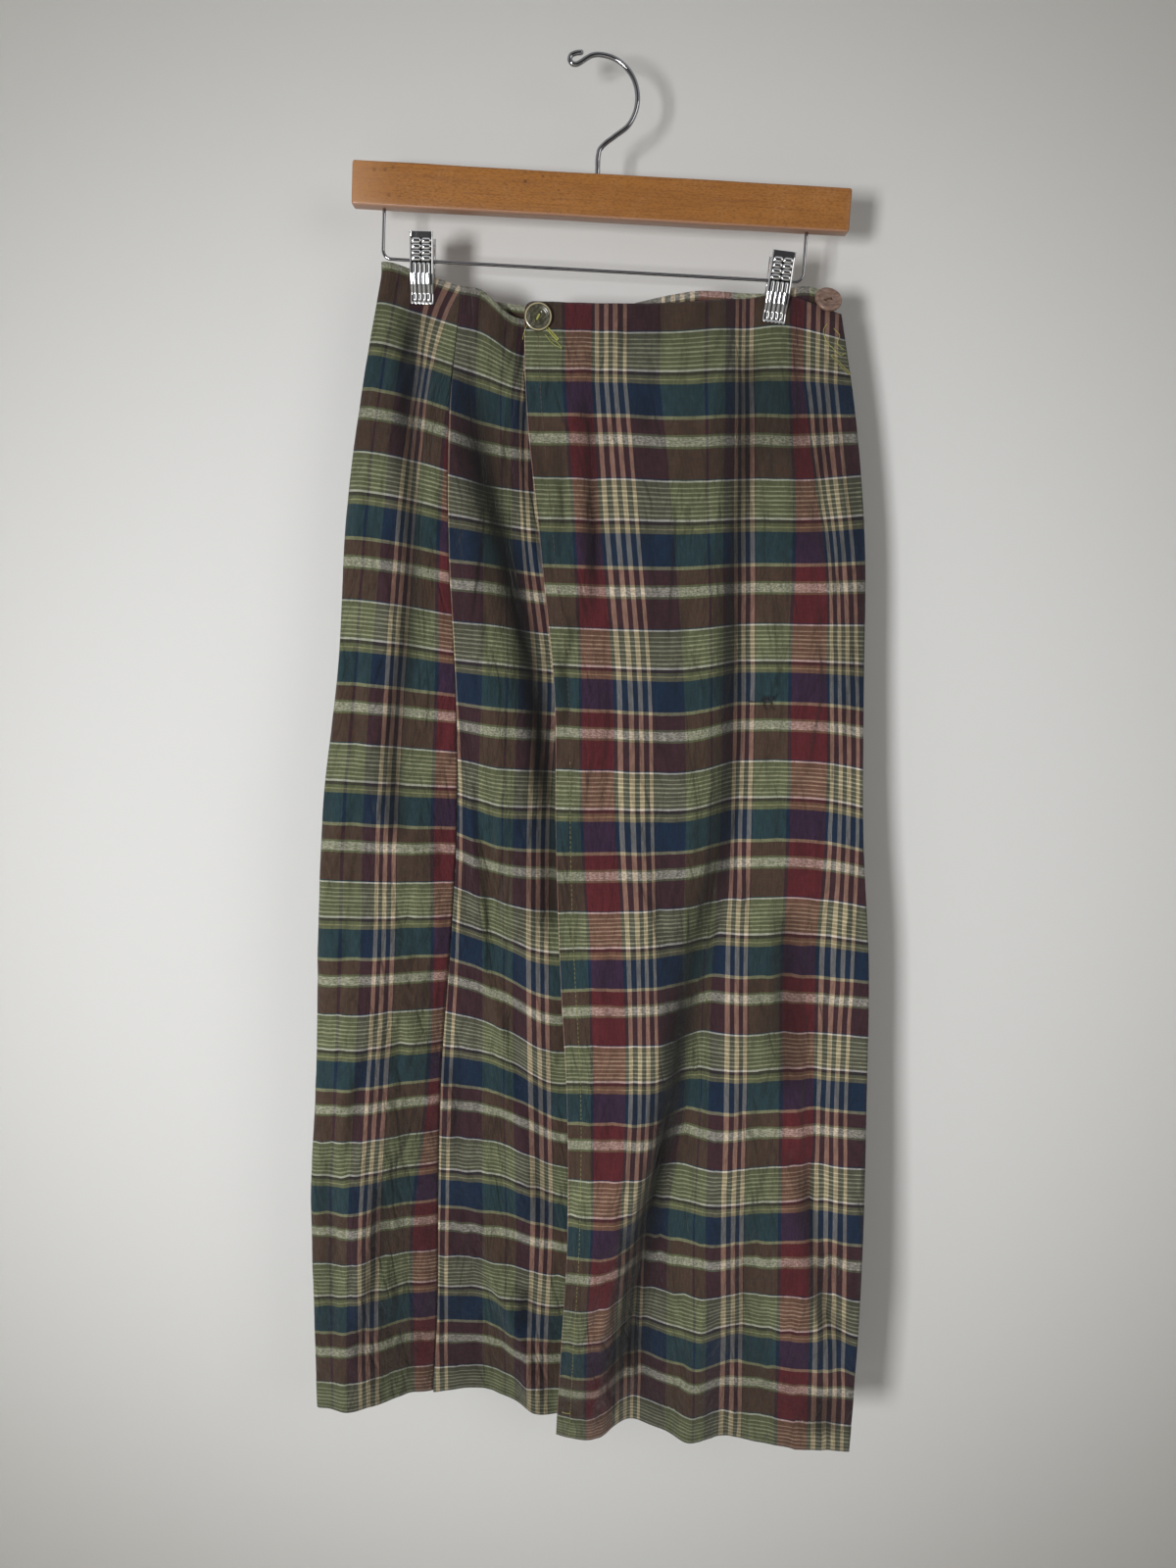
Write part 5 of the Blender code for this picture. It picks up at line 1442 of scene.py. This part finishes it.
def buildHorn():
    # Smoky olive horn: clouded bands, darker in the dish, with a thin pale gold rim.
    material, tree, shader = newMaterial("hornButton")
    place = clothPlace(tree)
    part = axesOf(tree, place)
    away = distanceOf(tree, part["X"], part["Y"])
    cloud = noiseOn(tree, stretched(tree, place, (1.0, 2.6, 1.0)), 190.0, 3.0, 0.6)
    base = mixColours(tree, between(tree, cloud, 0.35, 0.68), (0.028, 0.027, 0.018), (0.090, 0.084, 0.054))
    rim = calc(tree, "MULTIPLY", between(tree, away, 0.0084, 0.0088), between(tree, away, 0.0097, 0.0093))
    base = mixColours(tree, calc(tree, "MULTIPLY", rim, 0.7), base, (0.40, 0.34, 0.20))
    feed(tree, shader, {"Base Color": base, "Roughness": 0.22, "Coat Weight": 0.3, "Coat Roughness": 0.08})
    return material


def buildBrownButton():
    # Brown moulded button with a faint swirl and rubbed face.
    material, tree, shader = newMaterial("brownButton")
    place = clothPlace(tree)
    swirl = noiseOn(tree, stretched(tree, place, (1.0, 3.0, 1.0)), 160.0, 4.0, 0.6)
    base = mixColours(tree, between(tree, swirl, 0.3, 0.7), (0.095, 0.056, 0.042), (0.22, 0.135, 0.100))
    wear = placeGroup(tree, fineWear, {"Place": place, "Size": 240.0})
    feed(tree, shader, {"Base Color": base,
                        "Roughness": calc(tree, "MULTIPLY_ADD", wear["Mask"], 0.25, 0.30),
                        "Normal": reliefOf(tree, wear["Height"], 0.25, 0.08)})
    return material


buttonLooks = {"horn_button": buildHorn(), "brown_button": buildBrownButton()}


def buildThread(name, colour):
    # Twisted sewing thread: short slanting light and dark places.
    material, tree, shader = newMaterial(name)
    twist = noiseOn(tree, objectPlace(tree), 2600.0, 2.0, 0.5)
    dark = tuple(value * 0.55 for value in colour)
    feed(tree, shader, {"Base Color": mixColours(tree, between(tree, twist, 0.35, 0.65), dark, colour),
                        "Roughness": 0.7, "Normal": reliefOf(tree, twist, 0.5, 0.1)})
    return material


oliveThread = buildThread("oliveThread", (0.27, 0.25, 0.09))
limeThread = buildThread("limeThread", (0.44, 0.45, 0.10))
darkThread = buildThread("darkThread", (0.008, 0.010, 0.016))
brownThread = buildThread("brownThread", (0.10, 0.05, 0.035))

buttonPlaces = {}
for row in buttons:
    points, faces = buttonSurface()
    points[:, 2] -= wellDepth(points) * 1.3
    matrix = buttonMatrix(row)
    buttonPlaces[row["name"]] = matrix
    button = makePiece(row["name"], placePoints(points * mm, matrix), faces, buttonLooks[row["slot"]],
                       uv=points[:, :2] * mm)
    settle(button, row["node"])
print("buttons ready")


# Sewing

def surfaceFrame(surface, across, down, step):
    # Points, outward normals and both directions of a panel at a list of places.
    here = surface(across, down)
    right = unit(surface(across + step, down) - surface(across - step, down))
    below = unit(surface(across, down + 1.0) - surface(across, down - 1.0))
    outward = unit(np.cross(below, right))
    return here, outward, right, below


def beadRow(name, centres, outward, heading, length, width, material, sink=0.0):
    # One small spindle per stitch: four rings of five points, laid on the cloth along the heading.
    lengthwise = np.array([-0.5, -0.3, 0.3, 0.5]) * length
    swell = np.array([0.45, 1.0, 1.0, 0.45]) * width / 2
    turn = np.linspace(0, 2 * np.pi, 5, endpoint=False)
    own = np.stack([np.repeat(lengthwise, 5), np.outer(swell, np.cos(turn)).ravel(),
                    np.outer(swell, np.sin(turn)).ravel()], axis=1)
    side = unit(np.cross(outward, heading))
    base = centres + outward * (skirt["thickness"] / 2 - sink)
    points = (base[:, None] + heading[:, None] * own[None, :, :1] + side[:, None] * own[None, :, 1:2]
              + outward[:, None] * own[None, :, 2:])
    one = tubeFaces(4, 5)
    faces = [[20 * order + corner for corner in face] for order in range(len(centres)) for face in one]
    settle(makePiece(name, points.reshape(-1, 3) * mm, faces, material))


sewing = {
    "stitch": 2.7, "gap": 0.9, "width": 0.42, "edgeDistance": 10.5, "edgeEnds": (8.0, 884.0), "worn": 330.0,
    "hemAbove": 23.5, "hemStitch": 2.2, "hemWidth": 0.38, "hemWander": 0.4,
    "satinStep": 0.42, "satinAside": 0.8, "satinStitch": 0.95, "satinWidth": 0.44, "satinSink": -0.1,
    "looseRadius": 0.17, "tackRadius": 0.34, "darnRadius": 0.42, "bridgeRadius": 0.3,
}
edgeDown = np.arange(*sewing["edgeEnds"], sewing["stitch"] + sewing["gap"])
for name, chosen, material in (("edgeStitchesHigh", edgeDown < sewing["worn"], brownThread),
                               ("edgeStitchesLow", edgeDown >= sewing["worn"], oliveThread)):
    down = edgeDown[chosen]
    cloth = sewing["edgeDistance"] + 0.3 * np.sin(down / 40)
    here, outward, right, below = surfaceFrame(overSurface, cloth, down, 1.0)
    beadRow(name, here, outward, below, sewing["stitch"], sewing["width"], material)
# Each hem's stitches: from, to and step across the panel, how fast their line wanders, and the step
# that their directions are measured over.
hemRows = (
    ("overHemStitches", overSurface, (3.0, 246.0, 5.2), 1 / 9, 1.0),
    ("underHemStitches", underSurface, (0.012, 0.44, 0.0205), 30, 0.004),
    ("backHemStitches", backSurface, (0.02, 0.99, 0.0088), 60, 0.002),
)
for name, surface, run, wander, step in hemRows:
    across = np.arange(*run)
    down = skirt["length"] - sewing["hemAbove"] + sewing["hemWander"] * np.sin(across * wander)
    here, outward, right, below = surfaceFrame(surface, across, down, step)
    beadRow(name, here, outward, right, sewing["hemStitch"], sewing["hemWidth"], oliveThread)


def buttonhole(name, start, end, material):
    # Satin stitches side by side round a slit, from one end of it to the other and back.
    start, end = np.array(start, dtype=float), np.array(end, dtype=float)
    run = unit(end - start)
    square = np.array([-run[1], run[0]])
    length = np.linalg.norm(end - start)
    steps = np.arange(0, length, sewing["satinStep"])
    lines = [start + run * steps[:, None] + square * side * sewing["satinAside"] for side in (-1, 1)]
    ends = (start - run * 0.4, end + run * 0.4)
    bars = [point + square * np.linspace(-1.0, 1.0, 6)[:, None] for point in ends]
    spots = np.concatenate(lines + bars)
    here, outward, right, below = surfaceFrame(overSurface, spots[:, 0], spots[:, 1], 1.0)
    alongRun = unit(right * run[0] + below * run[1])
    acrossRun = unit(np.cross(outward, alongRun))
    sideways = np.arange(len(spots)) < 2 * len(steps)
    heading = np.where(sideways[:, None], acrossRun, alongRun)
    beadRow(name, here, outward, heading, sewing["satinStitch"], sewing["satinWidth"], material,
            sink=sewing["satinSink"])


buttonhole("frontButtonhole", (13.5, 14.5), (25.0, 27.0), limeThread)
buttonhole("sideButtonhole", (240.0, 36.0), (249.0, 48.0), oliveThread)


def threadOn(name, places, radius, material):
    # Loose thread: a smooth path through (cloth, down) places on the over panel, each lifted off it by
    # its own height.
    cloth, down, height = np.transpose(places)
    here, outward, right, below = surfaceFrame(overSurface, cloth, down, 1.0)
    path = smoothPath(here + outward * (skirt["thickness"] / 2 + radius + height[:, None]),
                      14 * len(places))
    settle(makeTube(name, path, radius, material, sides=6, upward=(0.1, 1, 0.13)))


looseThreads = {
    "frontThreadTail": ((3.0, 14.0, 0.2), (1.5, 19.0, 0.8), (-0.5, 24.0, 1.0), (-1.5, 27.5, 0.6)),
    "frontThreadLoop": ((16.0, 24.0, 0.2), (22.0, 31.0, 1.4), (28.0, 34.0, 1.8), (25.0, 30.0, 1.2),
                        (20.0, 27.0, 0.2)),
    "sideThreadLong": ((239.0, 12.0, 0.2), (236.0, 18.0, 1.2), (236.5, 24.0, 0.8), (241.0, 31.0, 1.6),
                       (246.0, 34.0, 1.0), (249.0, 31.0, 0.6)),
    "sideThreadShort": ((243.0, 14.0, 0.2), (246.0, 19.0, 1.4), (244.0, 25.0, 1.0), (247.5, 29.0, 0.8)),
}
for name, places in looseThreads.items():
    threadOn(name, places, sewing["looseRadius"], limeThread)
threadOn("hemTack", ((4.0, 859.0, 0.1), (7.5, 859.4, 0.2), (11.0, 859.0, 0.1)), sewing["tackRadius"],
         oliveThread)
# The small darn: a tangle of short ends, as places on the cloth; each later one lies a little higher.
darnThreads = (
    ((157.4, 291.4), (160.5, 291.6), (166.7, 291.9), (171.0, 292.3)),
    ((166.8, 291.5), (167.0, 289.2), (169.0, 287.9)),
    ((169.4, 293.0), (170.2, 290.8), (171.0, 289.0), (173.1, 287.2)),
    ((171.5, 292.5), (173.6, 290.0), (175.0, 287.2)),
    ((173.2, 290.6), (175.3, 289.6), (177.4, 286.2)),
    ((170.0, 290.0), (172.5, 290.6), (174.3, 292.9)),
    ((168.2, 290.6), (170.6, 288.4), (172.0, 288.8), (169.8, 291.8)),
)
for order, spots in enumerate(darnThreads):
    rise = np.linspace(0.1, 0.1 + 0.12 * order, len(spots))
    places = np.column_stack([spots, rise])
    threadOn("darnThread" + str(order + 1), places, sewing["darnRadius"], darkThread)
print("sewing ready")


# Threads that hold the buttons: two short bars between the holes.
for row, material in zip(buttons, (limeThread, brownThread)):
    reach = buttonSize["holeSpacing"] / 2
    top = buttonSize["thickness"] / 2 * 0.42
    for order, shift in enumerate((-0.28, 0.28)):
        path = [(-reach, shift * 0.6, -0.4), (-reach * 0.8, shift, top + 0.25),
                (0.0, shift * 1.2, top + 0.42), (reach * 0.8, shift, top + 0.25),
                (reach, shift * 0.6, -0.4)]
        points, faces = tubeSurface(smoothPath(path, 16), sewing["bridgeRadius"], 6, (0, 1, 0.02))
        points = placePoints(points * mm, buttonPlaces[row["name"]])
        bridge = makePiece(row["name"] + "Thread" + str(order + 1), points, flipFaces(faces), material)
        settle(bridge)


# Stage: a pale painted wall behind and a pale floor below. A pool of light is painted on the wall and
# floor: it fades away from poolCentre, as (x, z), over the distances of poolReach; there the paint has
# outerShare of its colour.
stageSetup = {"wallDepth": 0.047, "floorHeight": -1.28, "reach": 2.6,
              "wall": (0.575, 0.575, 0.57), "floor": (0.62, 0.61, 0.58), "outerShare": (0.45, 0.44, 0.41),
              "poolCentre": (-0.01, -0.59), "poolReach": (0.29, 0.98), "poolFade": 0.99}


def buildPaint(name, colour, seenFromBehind):
    material, tree, shader = newMaterial(name)
    place = objectPlace(tree)
    part = axesOf(tree, place)
    aside, above = (calc(tree, "SUBTRACT", part[axis], centre)
                    for axis, centre in zip("XZ", stageSetup["poolCentre"]))
    # Painted pool of light: the colour darkens away from poolCentre.
    fade = between(tree, distanceOf(tree, aside, above), *stageSetup["poolReach"])
    fade = calc(tree, "MULTIPLY", fade, stageSetup["poolFade"])
    outer = tuple(value * share for value, share in zip(colour, stageSetup["outerShare"]))
    roller = noiseOn(tree, place, 420.0, 3.0, 0.5)
    feed(tree, shader, {"Base Color": mixColours(tree, fade, colour, outer), "Roughness": 0.8,
                        "Normal": reliefOf(tree, roller, 0.15, 0.1)})
    if not seenFromBehind:
        clear = addNode(tree, "ShaderNodeBsdfTransparent")
        facing = addNode(tree, "ShaderNodeNewGeometry").outputs["Backfacing"]
        passing = addNode(tree, "ShaderNodeLightPath").outputs["Is Shadow Ray"]
        either = calc(tree, "MAXIMUM", facing, passing)
        mix = addNode(tree, "ShaderNodeMixShader", {0: either, 1: shader.outputs[0], 2: clear.outputs[0]})
        tree.links.new(mix.outputs[0], tree.nodes["Material Output"].inputs["Surface"])
    return material


reach, depth, ground = stageSetup["reach"], stageSetup["wallDepth"], stageSetup["floorHeight"]
wallPaint = buildPaint("wallPaint", stageSetup["wall"], False)
floorPaint = buildPaint("floorPaint", stageSetup["floor"], True)
wallCorners = [(-reach, depth, ground), (reach, depth, ground), (reach, depth, reach),
               (-reach, depth, reach)]
floorCorners = [(-reach, -reach, ground), (reach, -reach, ground), (reach, reach, ground),
                (-reach, reach, ground)]
for name, corners, material in (("wall", wallCorners, wallPaint), ("floor", floorCorners, floorPaint)):
    makePiece(name, corners, [[0, 1, 2, 3]], material, smooth=False)

# Each lamp: place, size, power and colour; all aim at the middle of the skirt.
lampAim = (0.0, 0.0, -0.6)
lamps = {
    "key": ((-1.12, -2.15, -0.62), (0.4, 0.6), 52.0, (1.0, 1.0, 1.0)),
    "fill": ((1.7, -2.0, 0.2), (1.2, 1.2), 10.5, (1.0, 0.97, 0.92)),
    "behind": ((0.6, 2.2, 0.4), (1.6, 1.6), 34.0, (1.0, 1.0, 1.0)),
}
for name, (place, size, power, colour) in lamps.items():
    lamp = bpy.data.lights.new(name, "AREA")
    lamp.shape = "RECTANGLE"
    lamp.size, lamp.size_y = size
    lamp.energy = power
    lamp.color = colour
    holder = bpy.data.objects.new(name, lamp)
    holder.location = place
    holder.rotation_euler = (Vector(lampAim) - Vector(place)).to_track_quat("-Z", "Y").to_euler()
    bpy.context.scene.collection.objects.link(holder)

# Room light: brighter from above, dark straight in front, and a plain pale colour where the camera
# looks past the stage.
room = {"above": (0.56, 0.56, 0.56), "below": (0.20, 0.20, 0.20), "front": (0.05, 0.05, 0.05),
        "seen": (0.56, 0.56, 0.55)}
world = bpy.data.worlds.new("room")
world.use_nodes = True
bpy.context.scene.world = world
tree = world.node_tree
toward = axesOf(tree, addNode(tree, "ShaderNodeTexCoord").outputs["Generated"])
sky = mixColours(tree, between(tree, toward["Z"], -0.35, 0.45), room["below"], room["above"])
sky = mixColours(tree, between(tree, toward["Y"], -0.70, -0.93), sky, room["front"])
seen = addNode(tree, "ShaderNodeLightPath").outputs["Is Camera Ray"]
feed(tree, tree.nodes["Background"], {"Color": mixColours(tree, seen, sky, room["seen"])})
bpy.context.scene.view_settings.view_transform = "Standard"
print("stage ready")

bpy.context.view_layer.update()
